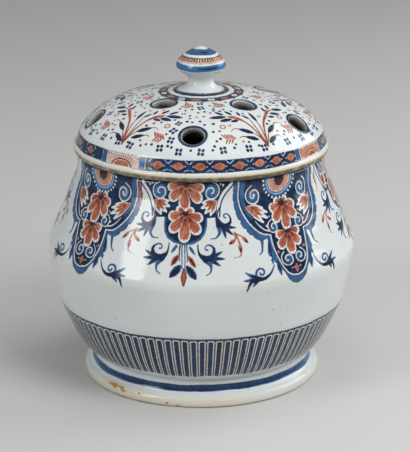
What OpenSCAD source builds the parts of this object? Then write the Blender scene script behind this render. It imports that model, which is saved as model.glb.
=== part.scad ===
// Covered potpourri jar in tin-glazed earthenware.
// A waisted jar stands on a flared foot ring, under a pierced domed lid with a turned knob.
// Thrown pieces are revolved from their profiles, in [radius, height] and millimetres.
// The axis is Z, the jar stands on Z = 0, and its front faces -Y.

/* [Foot] */
// Radius of the foot at its rounded edge
foot_r = 78.8; // [76:0.2:90]
// Height of the foot, from the table to the seam under the jar
foot_h = 17; // [13:0.5:24]
// Height of the rounded edge that the foot stands on
foot_edge_h = 6; // [4.5:0.5:8]
// Thickness of the foot's wall, measured across
foot_wall = 10; // [7:0.5:13]
// Width of the foot's throat above the edge, past the waist
foot_throat = 1; // [0.4:0.2:3]

/* [Jar] */
// Radius of the waist, where the jar is luted to the foot
waist_r = 72.2; // [64:0.2:74]
// Radius at the top of the flare that carries the painted gadroons
flare_r = 95.6; // [86:0.2:100]
// Height of the flare
flare_h = 37; // [28:0.5:46]
// Radius of the belly, the widest place
belly_r = 102.2; // [98:0.2:112]
// Height from the flare to the belly
belly_h = 36; // [26:0.5:46]
// Height of the sloping shoulder, from the belly to the neck
shoulder_h = 51; // [40:0.5:62]
// Radius of the neck
neck_r = 81.2; // [78:0.2:88]
// Height of the upright neck, up to the rim
neck_h = 11; // [9:0.5:18]
// Thickness of the jar's wall, measured across
jar_wall = 7; // [5:0.5:9]
// Thickness of the jar's floor
floor_t = 8; // [6:0.5:12]

/* [Lid] */
// How far the lid's lip stands out past the neck
lip_overhang = 2.6; // [1:0.2:5]
// Height of the rounded lip
lip_h = 5.6; // [4.4:0.2:8]
// Set-back of the band behind the lip
band_step = 1.8; // [1:0.2:3]
// Height of the band above the lip
band_h = 8.4; // [6:0.2:12]
// Inward lean of the band over its height
band_lean = 2.2; // [0.6:0.2:4]
// Slope of the dome where it springs from the band, in degrees
dome_spring = 53; // [45:1:62]
// Radius of the dome's shoulder
dome_shoulder_r = 53; // [44:1:60]
// Radius of the dome's crown
dome_crown_r = 200; // [150:5:280]
// Thickness of the dome's wall
lid_wall = 6.5; // [5:0.5:8]
// Depth of the flange that drops into the jar's mouth
flange_depth = 12; // [8:0.5:20]
// Thickness of the flange
flange_wall = 5.5; // [4:0.5:8]
// Gap all round between the flange and the mouth
flange_gap = 1.2; // [0.6:0.2:2]

/* [Vents] */
// Diameter of the vents
vent_d = 14; // [9:0.5:16]
// Softened edge of each vent
vent_edge = 1.4; // [0.4:0.2:2]
// Distance of the upper ring of vents from the axis
upper_vent_r = 42; // [38:0.5:44]
// Distance of the lower ring of vents from the axis
lower_vent_r = 68; // [64:0.5:69]

/* [Knob] */
// Radius of the knob's spreading base
knob_base_r = 17.5; // [14:0.5:20]
// Radius of the knob's stem
knob_stem_r = 8.1; // [6:0.1:10]
// Height of the stem, from the lid to the bulb
knob_stem_h = 7.5; // [5:0.5:14]
// Radius of the bulb
knob_r = 16.3; // [13:0.1:20]
// Height of the bulb below its widest place
bulb_low_h = 8.6; // [6:0.2:11]
// Height of the bulb above its widest place
bulb_top_h = 12.8; // [9:0.2:17]

/* [Hidden] */
// The vents were pierced by eye: each one's degrees round from the front, and its stray out from its ring
upper_vents = [[-41.5, -6.5], [44, -2.7], [116, 5.8], [178, 2], [234.5, 7.5]];
lower_vents = [[-4.2, -1], [64, 1.2], [138, 0], [212, 0], [281.5, 2.4]];

// Roundings and small steps of the thrown profiles
foot_sole_round = 2.2;
foot_edge_round = 3;
foot_throat_round = 7;
foot_throat_rise = 2.6;
foot_sole_inset = 3;
flare_round = 16;
belly_round = 11;
shoulder_round = 14;
rim_round = 2.4;
floor_round = 14;
lip_round = 2.6;
band_round = 1.6;
flange_round = 2;
knob_base_edge = 0.7;

// Power that narrows the top of the bulb: 1 is a half ellipse, 2 is close to a cone
bulb_taper = 1.6;

// One facet of a rounding, in degrees, and the facets of a bulb or dome arc
round_step = 7.5;
arc_facets = 16;
$fn = 96;

// Heights, each from the piece below
seam_z = foot_h;
flare_z = seam_z + flare_h;
belly_z = flare_z + belly_h;
neck_z = belly_z + shoulder_h;
rim_z = neck_z + neck_h;
lip_z = rim_z + lip_h;
spring_z = lip_z + band_h;

// The lid is sized from the neck that it covers
mouth_r = neck_r - jar_wall;
flange_r = mouth_r - flange_gap;
lip_r = neck_r + lip_overhang;
band_r = lip_r - band_step;
spring_r = band_r - band_lean;

// The dome is two arcs that meet tangent: a shoulder from the band, and a crown on the axis
shoulder_cr = spring_r - dome_shoulder_r * sin(dome_spring);
shoulder_cz = spring_z - dome_shoulder_r * cos(dome_spring);
crown_edge = asin(shoulder_cr / (dome_crown_r - dome_shoulder_r));
crown_cz = shoulder_cz - (dome_crown_r - dome_shoulder_r) * cos(crown_edge);
crown_edge_r = dome_crown_r * sin(crown_edge);

// The knob stands on a flat seat cut across the crown
knob_seat_angle = asin(knob_base_r / dome_crown_r);
knob_z = crown_cz + dome_crown_r * cos(knob_seat_angle);
stem_z = knob_z + knob_stem_h;
bulb_z = stem_z + bulb_low_h;

// Profile helpers

function unit(v) = v / norm(v);
function flat(lists) = [for (l = lists) each l];

// Points of the arc that rounds corner b, limited by half of its shorter side
function round_corner(a, b, c, radius) =
    let (
        u = unit(a - b),
        v = unit(c - b),
        half = acos(u * v) / 2,
        reach = min(radius / tan(half), norm(a - b) / 2, norm(c - b) / 2),
        r = reach * tan(half),
        centre = b + unit(u + v) * r / sin(half),
        first = b + u * reach - centre,
        last = b + v * reach - centre,
        sweep = 180 - 2 * half,
        steps = max(2, ceil(sweep / round_step))
    )
    [for (i = [0 : steps])
        centre + (first * sin(sweep * (1 - i / steps)) + last * sin(sweep * i / steps)) / sin(sweep)];

// A closed outline from corners, each [radius, height, rounding]
function rounded(corners) =
    let (n = len(corners), at = [for (c = corners) [c[0], c[1]]])
    flat([for (i = [0 : n - 1])
        corners[i][2] > 0
            ? round_corner(at[(i + n - 1) % n], at[i], at[(i + 1) % n], corners[i][2])
            : [at[i]]]);

// Points after the first on an arc of the dome, set in from its outside, from one slope to another
function dome_arc(cr, cz, radius, from, to) =
    [for (i = [1 : arc_facets])
        let (a = from + (to - from) * i / arc_facets)
        [cr + radius * sin(a), cz + radius * cos(a)]];
function dome_crown(inset, from, to) = dome_arc(0, crown_cz, dome_crown_r - inset, from, to);
function dome_shoulder(inset, from, to) =
    dome_arc(shoulder_cr, shoulder_cz, dome_shoulder_r - inset, from, to);

// Slope of the dome at a distance from the axis, and the point there
function dome_slope(r) =
    r < crown_edge_r ? asin(r / dome_crown_r) : asin((r - shoulder_cr) / dome_shoulder_r);
function dome_height(r) =
    r < crown_edge_r
        ? crown_cz + dome_crown_r * cos(dome_slope(r))
        : shoulder_cz + dome_shoulder_r * cos(dome_slope(r));

module turned(outline) {
    rotate_extrude() polygon(outline);
}

// Foot ring: a flared, hollow ring with a rounded edge
module foot_ring() {
    color("#e6e2d6")
        turned(rounded([
            [foot_r - foot_wall - foot_sole_inset, 0, foot_sole_round],
            [foot_r, 0, foot_sole_round],
            [foot_r, foot_edge_h, foot_edge_round],
            [waist_r + foot_throat, foot_edge_h + foot_throat_rise, foot_throat_round],
            [waist_r, seam_z, 0],
            [waist_r - foot_wall, seam_z, 0]
        ]));
}

// Jar: flare, belly, shoulder and neck thrown as one wall
module jar_body() {
    floor_z = seam_z + floor_t;
    color("#e3e4df")
        turned(rounded([
            [0, seam_z, 0],
            [waist_r, seam_z, 0],
            [flare_r, flare_z, flare_round],
            [belly_r, belly_z, belly_round],
            [neck_r, neck_z, shoulder_round],
            [neck_r, rim_z, rim_round],
            [mouth_r, rim_z, rim_round],
            [mouth_r, neck_z, shoulder_round],
            [belly_r - jar_wall, belly_z, belly_round],
            [flare_r - jar_wall, flare_z, flare_round],
            [waist_r - jar_wall, floor_z, floor_round],
            [0, floor_z, 0]
        ]));
}

// One vent, square to the dome, with a softened outer edge
module vent(ring_r, angle) {
    slope = dome_slope(ring_r);
    reach = lid_wall * 3;
    rotate([0, 0, angle])
        translate([0, -ring_r, dome_height(ring_r)])
            rotate([slope, 0, 0]) {
                cylinder(d = vent_d, h = reach * 2, center = true);
                translate([0, 0, -vent_edge])
                    cylinder(d1 = vent_d, d2 = vent_d + 4 * vent_edge, h = 2 * vent_edge);
            }
}

// Lid: rounded lip, upright band and a dome pierced by two rings of vents
module lid_dome() {
    inside_slope = asin((flange_r - shoulder_cr) / (dome_shoulder_r - lid_wall));
    rim = rounded([
        [flange_r, rim_z, 0],
        [lip_r, rim_z, lip_round],
        [lip_r, lip_z, lip_round],
        [band_r, lip_z, band_round],
        [spring_r, spring_z, 0]
    ]);
    color("#e6e5df")
        difference() {
            turned(concat(
                [[0, crown_cz + dome_crown_r - lid_wall]],
                dome_crown(lid_wall, 0, crown_edge),
                dome_shoulder(lid_wall, crown_edge, inside_slope),
                rim,
                dome_shoulder(0, dome_spring, crown_edge),
                dome_crown(0, crown_edge, knob_seat_angle),
                [[0, knob_z]]
            ));
            for (v = upper_vents) vent(upper_vent_r + v[1], v[0]);
            for (v = lower_vents) vent(lower_vent_r + v[1], v[0]);
        }
}

// Flange: the ring luted inside the lid that keeps it centred in the mouth
module lid_flange() {
    color("#ddd8cc")
        turned(rounded([
            [flange_r - flange_wall, rim_z - flange_depth, flange_round],
            [flange_r, rim_z - flange_depth, flange_round],
            [flange_r, lip_z, 0],
            [flange_r - flange_wall, lip_z, flange_round]
        ]));
}

// Knob: a spreading base swept up into a stem, and a bulb that tapers to its crown
module lid_knob() {
    base_top = knob_z + knob_base_edge;
    stem_rise = knob_stem_h - knob_base_edge;
    stem = [for (i = [0 : arc_facets])
        let (a = 90 * i / arc_facets)
        [knob_base_r - (knob_base_r - knob_stem_r) * sin(a), base_top + stem_rise * (1 - cos(a))]];
    bulb_low = [for (i = [1 : arc_facets])
        let (a = 180 * i / arc_facets)
        [knob_stem_r + (knob_r - knob_stem_r) * (1 - cos(a)) / 2, stem_z + bulb_low_h * i / arc_facets]];
    bulb_top = [for (i = [1 : arc_facets - 1])
        let (a = 90 * i / arc_facets)
        [knob_r * pow(cos(a), bulb_taper), bulb_z + bulb_top_h * sin(a)]];
    color("#e8e7e2")
        turned(concat(
            [[0, knob_z], [knob_base_r, knob_z]],
            stem,
            bulb_low,
            bulb_top,
            [[0, bulb_z + bulb_top_h]]
        ));
}

foot_ring();
jar_body();
lid_dome();
lid_flange();
lid_knob();
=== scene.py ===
import math

import bmesh
import bpy
import numpy as np
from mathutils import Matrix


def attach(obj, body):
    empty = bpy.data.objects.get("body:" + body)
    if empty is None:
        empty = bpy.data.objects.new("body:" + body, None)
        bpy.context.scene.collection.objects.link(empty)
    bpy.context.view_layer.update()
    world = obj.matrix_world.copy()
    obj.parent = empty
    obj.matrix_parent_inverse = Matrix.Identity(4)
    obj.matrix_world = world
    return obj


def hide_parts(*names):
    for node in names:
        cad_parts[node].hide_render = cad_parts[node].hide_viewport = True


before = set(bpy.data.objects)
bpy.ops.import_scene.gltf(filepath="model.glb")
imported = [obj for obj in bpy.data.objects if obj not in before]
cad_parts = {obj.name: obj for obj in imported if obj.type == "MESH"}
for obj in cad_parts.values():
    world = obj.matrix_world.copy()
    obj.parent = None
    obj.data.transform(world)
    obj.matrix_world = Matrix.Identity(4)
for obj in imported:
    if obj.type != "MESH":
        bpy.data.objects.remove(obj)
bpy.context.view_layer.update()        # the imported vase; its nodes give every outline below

mm = 0.001
fullTurn = 2 * np.pi
scene = bpy.context.scene
scene.view_settings.view_transform = "Standard"


# Colours are written as sRGB hex and turned to linear here
def hexColor(text):
    channels = [int(text[i:i + 2], 16) / 255 for i in (1, 3, 5)]
    return [c / 12.92 if c <= 0.04045 else ((c + 0.055) / 1.055) ** 2.4 for c in channels] + [1.0]


# Adds one node and gives back one of its outputs: settings are its properties,
# inputs give a socket a value or another node's output
def addNode(tree, kind, settings, inputs, out=0):
    node = tree.nodes.new("ShaderNode" + kind)
    for key, value in settings.items():
        setattr(node, key, value)
    for key, value in inputs.items():
        if isinstance(value, bpy.types.NodeSocket):
            tree.links.new(value, node.inputs[key])
        else:
            node.inputs[key].default_value = value
    return node.outputs[out]


# Camera: a long lens a little above the lid, level from side to side
cameraPlan = {
    "focalPixels": 1913.0,
    "frameHigh": 452.0,                  # pixels
    "sensorHigh": 36.0,                  # mm
    "pitchDown": 17.71,                  # degrees
    "place": (2.6, -1213.4, 485.4),      # mm
    "farthest": 20.0,                    # m, beyond which nothing is drawn
}
cameraData = bpy.data.cameras.new("camera")
cameraData.sensor_fit = "VERTICAL"
cameraData.sensor_height = cameraPlan["sensorHigh"]
cameraData.lens = cameraPlan["focalPixels"] / cameraPlan["frameHigh"] * cameraPlan["sensorHigh"]
cameraData.clip_end = cameraPlan["farthest"]
camera = bpy.data.objects.new("camera", cameraData)
camera.location = [c * mm for c in cameraPlan["place"]]
camera.rotation_euler = (math.radians(90 - cameraPlan["pitchDown"]), 0, 0)
scene.collection.objects.link(camera)
scene.camera = camera
print("camera ready")


# Thrown outlines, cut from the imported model
sectionPlan = {
    "bearing": 25.0,       # degrees round from the front, on a line that meets no vent
    "weld": 1e-6,          # m, closer points are one
    "onPlane": 1e-7,       # m
    "onAxis": 0.01,        # mm, radius up to which a point is on the axis
    "fineStep": 0.1,       # mm
    "softReach": 3,        # how far the softening looks, in its own widths
}


# A turned node's outline as [radius, height] in mm, in order along its skin, and whether it is a ring
def cutOutline(nodeName):
    bearing = math.radians(sectionPlan["bearing"])
    outward = np.array([math.sin(bearing), -math.cos(bearing), 0.0])
    across = (math.cos(bearing), math.sin(bearing), 0.0)
    weld = sectionPlan["weld"]
    bm = bmesh.new()
    bm.from_mesh(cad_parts[nodeName].data)
    bmesh.ops.remove_doubles(bm, verts=bm.verts[:], dist=weld)
    parts = bm.verts[:] + bm.edges[:] + bm.faces[:]
    cut = bmesh.ops.bisect_plane(bm, geom=parts, plane_co=(0, 0, 0), plane_no=across,
                                 dist=sectionPlan["onPlane"])
    edges = [e for e in cut["geom_cut"] if isinstance(e, bmesh.types.BMEdge)]
    reach = {v: float(np.dot(outward, v.co)) for e in edges for v in e.verts}
    nextTo = {}
    for e in edges:
        a, b = e.verts
        if min(reach[a], reach[b]) > -weld:
            nextTo.setdefault(a, []).append(b)
            nextTo.setdefault(b, []).append(a)
    ends = [v for v in nextTo if len(nextTo[v]) == 1]
    path = [min(ends or nextTo, key=lambda v: (v.co.z, reach[v]))]
    seen = set(path)
    onward = path
    while onward:
        onward = [v for v in nextTo[path[-1]] if v not in seen][:1]
        path.extend(onward)
        seen.update(onward)
    points = np.array([[max(reach[v], 0.0), v.co.z] for v in path]) / mm
    bm.free()
    if ends:
        onAxis = points[[0, -1]] * (0.0, 1.0)
        points = np.vstack([onAxis[:1], points[points[:, 0] > sectionPlan["onAxis"]], onAxis[1:]])
    return points, not ends


def lengthAlong(points):
    return np.concatenate([[0.0], np.cumsum(np.hypot(*np.diff(points, axis=0).T))])


# A node's outline in fine even steps, its corners softened as a glaze softens them
def softOutline(nodeName, softness):
    points, ring = cutOutline(nodeName)
    fine = sectionPlan["fineStep"]
    if ring:
        points = np.vstack([points, points[:1]])
    s = lengthAlong(points)
    even = np.linspace(0, s[-1], int(s[-1] / fine) + 1)
    dense = np.column_stack([np.interp(even, s, points[:, k]) for k in (0, 1)])
    half = int(sectionPlan["softReach"] * softness / fine)
    kernel = np.exp(-0.5 * (np.arange(-half, half + 1) * fine / softness) ** 2)
    kernel /= kernel.sum()
    if ring:
        padded = np.vstack([dense[-half - 1:-1], dense, dense[1:half + 1]])
    else:
        mirror = np.array([-1.0, 1.0])
        padded = np.vstack([dense[half:0:-1] * mirror, dense, dense[-2:-half - 2:-1] * mirror])
    smooth = np.column_stack([np.convolve(padded[:, k], kernel, mode="valid") for k in (0, 1)])
    if not ring:
        smooth[[0, -1], 0] = 0.0
    return smooth, ring


# Rows along a soft outline, spaced by the step that each of its points asks for
def spacedRows(dense, ring, steps):
    s = lengthAlong(dense)
    count = np.concatenate([[0.0], np.cumsum(np.diff(s) / (0.5 * (steps[1:] + steps[:-1])))])
    at = np.interp(np.linspace(0, count[-1], int(round(count[-1])) + 1), count, s)
    rows = np.column_stack([np.interp(at, s, dense[:, k]) for k in (0, 1)])
    return rows[:-1] if ring else rows


# A hand-thrown round is never quite true; all pieces share this, so that their seats still meet
throwing = {
    "lobes": ((0.0016, 2, 0.7), (0.0008, 3, 2.1)),      # share of the radius, lobes, radians round
    "ridge": 0.03,             # mm, rings left by the fingers
    "ridgeRun": 0.9,           # radians to a mm of height
    "ridgeSway": 0.6,          # radians by which they rise and fall, twice round
    "dents": ((0.07, 5, 0.11, 0.0), (0.05, 9, -0.23, 1.0)),     # waves, see waver
    "fullRadius": 40.0,        # mm, from which the unevenness is full
}
bakePlan = {"sideMargin": 0.004, "endMargin": 0.006}      # shares of a strip that stay bare


# A sum of waves round a piece: size, how many, radians to a mm of height, start in radians
def waver(waves, theta, z=0.0):
    return sum(size * np.sin(count * theta + run * z + start) for size, count, run, start in waves)


# A slow unevenness of the skin, in mm
def fingerWaver(theta, z):
    rings = throwing["ridgeRun"] * z + throwing["ridgeSway"] * np.sin(2 * theta)
    return throwing["ridge"] * np.sin(rings) + waver(throwing["dents"], theta, z)


def thrownRound(theta):
    return 1 + sum(size * np.cos(count * theta + turn) for size, count, turn in throwing["lobes"])


# Turns an outline into a smooth closed mesh; its bake layout is the skin cut into strips of equal angle,
# with a share of the layout spared above them
def turnPiece(name, line, ring, steps, columns, strips, spare=0.0):
    rows = spacedRows(line, ring, steps)
    theta = np.linspace(0, fullTurn, columns, endpoint=False) + np.pi
    body = rows if ring else rows[1:-1]
    n = len(body)
    r = body[:, :1] * thrownRound(theta)
    r = r + fingerWaver(theta, body[:, 1:]) * np.clip(r / throwing["fullRadius"], 0, 1)
    z = np.broadcast_to(body[:, 1:], r.shape)
    verts = np.stack([r * np.sin(theta), -r * np.cos(theta), z], -1).reshape(-1, 3)
    col = np.arange(columns)
    nextCol = (col + 1) % columns
    row = np.arange(n if ring else n - 1)[:, None]
    nextRow = (row + 1) % n
    quads = np.stack([row * columns + col, row * columns + nextCol,
                      nextRow * columns + nextCol, nextRow * columns + col], -1).reshape(-1, 4)
    perStrip = columns // strips
    strip = col // perStrip
    side, end = bakePlan["sideMargin"], bakePlan["endMargin"]

    def bakeSpot(column, rowShare):
        u = side + (1 - 2 * side) * (column - strip * perStrip) / perStrip
        v = (strip + end + (1 - 2 * end) * rowShare) / strips * (1 - spare)
        return np.stack(np.broadcast_arrays(u, v), -1)

    share = np.arange(len(rows) + 1) / (len(rows) if ring else len(rows) - 1)
    low = share[row + (0 if ring else 1)]
    high = share[row + (1 if ring else 2)]
    spots = [np.stack([bakeSpot(col, low), bakeSpot(col + 1, low),
                       bakeSpot(col + 1, high), bakeSpot(col, high)], 2).reshape(-1, 2)]
    corners = [quads.ravel()]
    sizes = [np.full(len(quads), 4)]
    if not ring:        # a fan of triangles closes each end on the axis
        verts = np.vstack([verts, [[0, 0, rows[0, 1]], [0, 0, rows[-1, 1]]]])
        last = (n - 1) * columns
        fans = ((0, nextCol, col, col + 1, col, share[0], share[1]),
                (1, last + col, last + nextCol, col, col + 1, share[len(rows) - 1], share[len(rows) - 2]))
        for pole, cornerA, cornerB, columnA, columnB, poleShare, rimShare in fans:
            corners.append(np.stack([np.full(columns, n * columns + pole), cornerA, cornerB], -1).ravel())
            spots.append(np.stack([bakeSpot(col + 0.5, poleShare), bakeSpot(columnA, rimShare),
                                   bakeSpot(columnB, rimShare)], 1).reshape(-1, 2))
            sizes.append(np.full(columns, 3))
    sizes = np.concatenate(sizes)
    mesh = bpy.data.meshes.new(name)
    mesh.vertices.add(len(verts))
    mesh.vertices.foreach_set("co", (verts * mm).astype(np.float32).ravel())
    mesh.loops.add(int(sizes.sum()))
    mesh.loops.foreach_set("vertex_index", np.concatenate(corners).astype(np.int32))
    mesh.polygons.add(len(sizes))
    mesh.polygons.foreach_set("loop_start", (np.cumsum(sizes) - sizes).astype(np.int32))
    bake = mesh.uv_layers.new(name="OFBake")
    bake.data.foreach_set("uv", np.concatenate(spots).astype(np.float32).ravel())
    mesh.update(calc_edges=True)
    loop = np.vstack([rows, rows[:1]])
    if np.sum(loop[:-1, 0] * loop[1:, 1] - loop[1:, 0] * loop[:-1, 1]) < 0:
        mesh.flip_normals()
    mesh.shade_smooth()
    piece = bpy.data.objects.new(name, mesh)
    scene.collection.objects.link(piece)
    print(name, "turned", len(mesh.polygons))
    return piece


def vertexPlaces(piece):
    co = np.empty(len(piece.data.vertices) * 3)
    piece.data.vertices.foreach_get("co", co)
    return co.reshape(-1, 3) / mm


# Each vertex of a piece as radius, height and bearing from the front, with the thrown round taken out
def skinPlaces(piece):
    x, y, z = vertexPlaces(piece).T
    theta = np.arctan2(x, -y)
    return np.hypot(x, y) / thrownRound(theta), z, theta


# A bearing measured from a turn in degrees, between half a turn to the left and half to the right
def fromTurn(theta, turn):
    return (theta - math.radians(turn) + np.pi) % fullTurn - np.pi


# Chips knocked out of an edge: dented, and worn to the clay
chipPlan = {
    "flat": 1.4,                  # how much wider than high
    "reach": 1.15,                # of a chip's size, where its dent starts
    "ragged": 0.25,               # share by which its floor varies
    "raggedRun": (2.1, 2.7),      # radians to a mm, along x and y
    "depth": 0.32,                # of its size
    "lift": 0.35,                 # how much the dent turns upwards
    "worn": 2.2,
}


# Chips are (bearing in degrees, radius, height, size), in mm
def chipEdge(piece, layers, chips):
    plan = chipPlan
    co = vertexPlaces(piece)
    runX, runY = plan["raggedRun"]
    for bearing, radius, z, size in chips:
        a = math.radians(bearing)
        radius = radius * thrownRound(a)
        away = co - (radius * math.sin(a), -radius * math.cos(a), z)
        away[:, 2] *= plan["flat"]
        near = np.clip(plan["reach"] - np.linalg.norm(away, axis=1) / size, 0, 1)
        rough = np.sin(co[:, 0] * runX) * np.sin(co[:, 1] * runY)
        near = near * (1 - plan["ragged"] + plan["ragged"] * rough)
        inward = np.array([-math.sin(a), math.cos(a), plan["lift"]])
        co += plan["depth"] * size * near[:, None] * inward
        layers["wear"] = np.maximum(layers["wear"], plan["worn"] * near)
    piece.data.vertices.foreach_set("co", (co * mm).astype(np.float32).ravel())
    piece.data.update()


# Brushwork: each pigment is a distance in mm to the edge of its paint, less than 0 inside it
pigments = ("blue", "navy", "red", "line")
ground = ("blue", "navy")
brushPlan = {
    "far": 4.0,                              # mm, beyond which distances aren't kept
    "curveSteps": 6,                         # straight bits between two points of a stroke
    "ovalPoints": 20,
    "volutePoints": 14,
    "voluteClose": 0.82,                     # share of its radius that a volute loses on its way in
    "leafWide": (0.3, 1.0, 0.12),            # a slim leaf's half-widths, from its stem to its point
    "fatAlong": (0.08, 0.36, 0.66, 0.97),    # places along a fuller leaf
    "fatWide": (0.35, 1.0, 0.9, 0.12),       # and its half-widths there
    "brownFrom": 0.4,                        # share of a red leaf where its brown starts
    "brownWide": 0.5,                        # share of its width
    "tiny": 1e-9,                            # stands in for nought where it would divide
}

# What a stroke does: the pigments it adds, and those it wipes away
inBlue, inNavy, inRed, inBrown = [((name,), ()) for name in pigments]
inGround = (ground, ())
offBlue, offNavy, offRed = [((), (name,)) for name in pigments[:3]]
offGround = ((), ground)
offWarm = ((), ("red", "line"))
offAll = ((), pigments)
redForGround = (("red",), ground)
groundForWarm = (ground, ("red", "line"))
darkForRed = (("navy", "line"), ("red",))


def newLayers(piece):
    count = len(piece.data.vertices)
    layers = {name: np.full(count, brushPlan["far"]) for name in pigments}
    layers["load"] = np.zeros(count)        # how full the brush was: more than 0 dries dark, less dries pale
    layers["wear"] = np.zeros(count)
    # stain: dulled insides, and on the lid's lip dirt with painted shadow
    layers["stain"] = np.zeros(count)
    return layers


def keepLayers(piece, layers):
    for name, values in layers.items():
        attribute = piece.data.attributes.new(name, "FLOAT", "POINT")
        attribute.data.foreach_set("value", values.astype(np.float32))


# Lays paint over a zone from its distances at every vertex
def layZone(layers, names, zone, distance):
    for name in names:
        layers[name][zone] = np.minimum(layers[name], distance)[zone]


# Distance to a painted band between two heights or radii
def bandEdge(at, span, sway=0.0):
    low, high = span
    return np.abs(at - 0.5 * (low + high) - sway) - 0.5 * (high - low)


def openPatch(layers, x, y, keep):
    at = np.flatnonzero(keep)
    return {"x": x[at], "y": y[at], "at": at, "layers": layers, "size": 1.0}


# The same patch seen from a place on it: moved, turned in degrees, mirrored, scaled
def place(patch, x, y, turn=0.0, flip=1, size=1.0):
    c, s = math.cos(math.radians(turn)), math.sin(math.radians(turn))
    dx = patch["x"] - x
    dy = patch["y"] - y
    return {"x": flip * (c * dx + s * dy) / size, "y": (c * dy - s * dx) / size,
            "at": patch["at"], "layers": patch["layers"], "size": patch["size"] * size}


def lay(patch, near, distance, paint):
    add, wipe = paint
    at = patch["at"][near]
    distance = distance * patch["size"]
    for name in add:
        patch["layers"][name][at] = np.minimum(patch["layers"][name][at], distance)
    for name in wipe:
        patch["layers"][name][at] = np.maximum(patch["layers"][name][at], -distance)


def nearLine(patch, line, pad):
    low = line.min(0) - pad
    high = line.max(0) + pad
    x, y = patch["x"], patch["y"]
    return np.flatnonzero((x > low[0]) & (x < high[0]) & (y > low[1]) & (y < high[1]))


# A smooth line through points, with the half-widths carried along it
def smoothLine(points, widths):
    p = np.array(points, float)
    n = len(p)
    w = np.interp(np.linspace(0, 1, n), np.linspace(0, 1, np.size(widths)), np.atleast_1d(widths))
    steps = brushPlan["curveSteps"] if n > 2 else 1
    t = np.linspace(0, n - 1, (n - 1) * steps + 1)
    k = np.minimum(t.astype(int), n - 2)
    f = (t - k)[:, None]
    a, b, c, d = p[np.maximum(k - 1, 0)], p[k], p[k + 1], p[np.minimum(k + 2, n - 1)]
    square = (2 * a - 5 * b + 4 * c - d) * f ** 2
    cube = (3 * b - a - 3 * c + d) * f ** 3
    return 0.5 * (2 * b + (c - a) * f + square + cube), np.interp(t, np.arange(n), w)


# Share of the way along a straight bit that is nearest to each point, and how far off the bit the point is
def offBit(qx, qy, ex, ey):
    t = np.clip((qx * ex + qy * ey) / max(ex * ex + ey * ey, brushPlan["tiny"]), 0, 1)
    return t, np.hypot(qx - t * ex, qy - t * ey)


def brush(patch, points, widths, paint):
    line, half = smoothLine(points, widths)
    near = nearLine(patch, line, half.max() + brushPlan["far"])
    px, py = patch["x"][near], patch["y"][near]
    distance = np.full(near.size, brushPlan["far"])
    for k in range(len(line) - 1):
        t, off = offBit(px - line[k, 0], py - line[k, 1], *(line[k + 1] - line[k]))
        distance = np.minimum(distance, off - half[k] - t * (half[k + 1] - half[k]))
    lay(patch, near, distance, paint)


# A closed outline filled in
def fill(patch, outline, paint):
    loop = np.array(outline, float)
    near = nearLine(patch, loop, brushPlan["far"])
    px, py = patch["x"][near], patch["y"][near]
    distance = np.full(near.size, brushPlan["far"] * 2)
    inside = np.zeros(near.size, bool)
    for (ax, ay), (bx, by) in zip(loop, np.roll(loop, -1, 0)):
        ex, ey = bx - ax, by - ay
        qx, qy = px - ax, py - ay
        distance = np.minimum(distance, offBit(qx, qy, ex, ey)[1])
        crosses = (ay > py) != (by > py)
        inside ^= crosses & (qx < ex * qy / (ey or brushPlan["tiny"]))
    lay(patch, near, np.where(inside, -distance, distance), paint)


def dab(patch, x, y, radius, paint):
    brush(patch, [(x, y), (x, y)], radius, paint)


def dabs(patch, spots, radius, paint):
    for x, y in spots:
        dab(patch, x, y, radius, paint)


# Points at shares of the way from start to end
def along(start, end, shares):
    return [(start[0] + s * (end[0] - start[0]), start[1] + s * (end[1] - start[1])) for s in shares]


# A leaf or petal: a stroke that swells and thins to a point, its middle bent to one side
def leaf(patch, start, end, width, paint, bend=0.0):
    mx, my = along(start, end, (0.5,))[0]
    middle = (mx - bend * (end[1] - start[1]), my + bend * (end[0] - start[0]))
    brush(patch, [start, middle, end], [w * width for w in brushPlan["leafWide"]], paint)


# A fuller leaf, blunt where it leaves its stem
def fatLeaf(patch, start, end, width, paint):
    line = along(start, end, brushPlan["fatAlong"])
    brush(patch, line, [w * width for w in brushPlan["fatWide"]], paint)


# A fuller leaf in red, brown towards its point
def redLeaf(patch, start, end, width):
    fatLeaf(patch, start, end, width, inRed)
    brownStart = along(start, end, (brushPlan["brownFrom"],))[0]
    fatLeaf(patch, brownStart, end, brushPlan["brownWide"] * width, inBrown)


def ellipse(x, y, wide, high):
    turns = np.linspace(0, fullTurn, brushPlan["ovalPoints"], endpoint=False)
    return [(x + wide * math.cos(a), y + high * math.sin(a)) for a in turns]


def box(x0, y0, x1, y1):
    return [(x0, y0), (x1, y0), (x1, y1), (x0, y1)]


def bothSides(half):
    return half + [(-x, y) for x, y in reversed(half)]


# A scroll rolled inwards, from its start in degrees
def volute(patch, x, y, radius, start, turns, width, paint):
    t = np.linspace(0, 1, brushPlan["volutePoints"])
    angle = math.radians(start) + fullTurn * turns * t
    r = radius * (1 - brushPlan["voluteClose"] * t)
    brush(patch, np.column_stack([x + r * np.cos(angle), y + r * np.sin(angle)]), width, paint)


# Paints rows of a tool and how it is used: places and half-widths in mm, last what the stroke does
def paintRows(patch, rows):
    for tool, *how in rows:
        tool(patch, *how)


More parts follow.
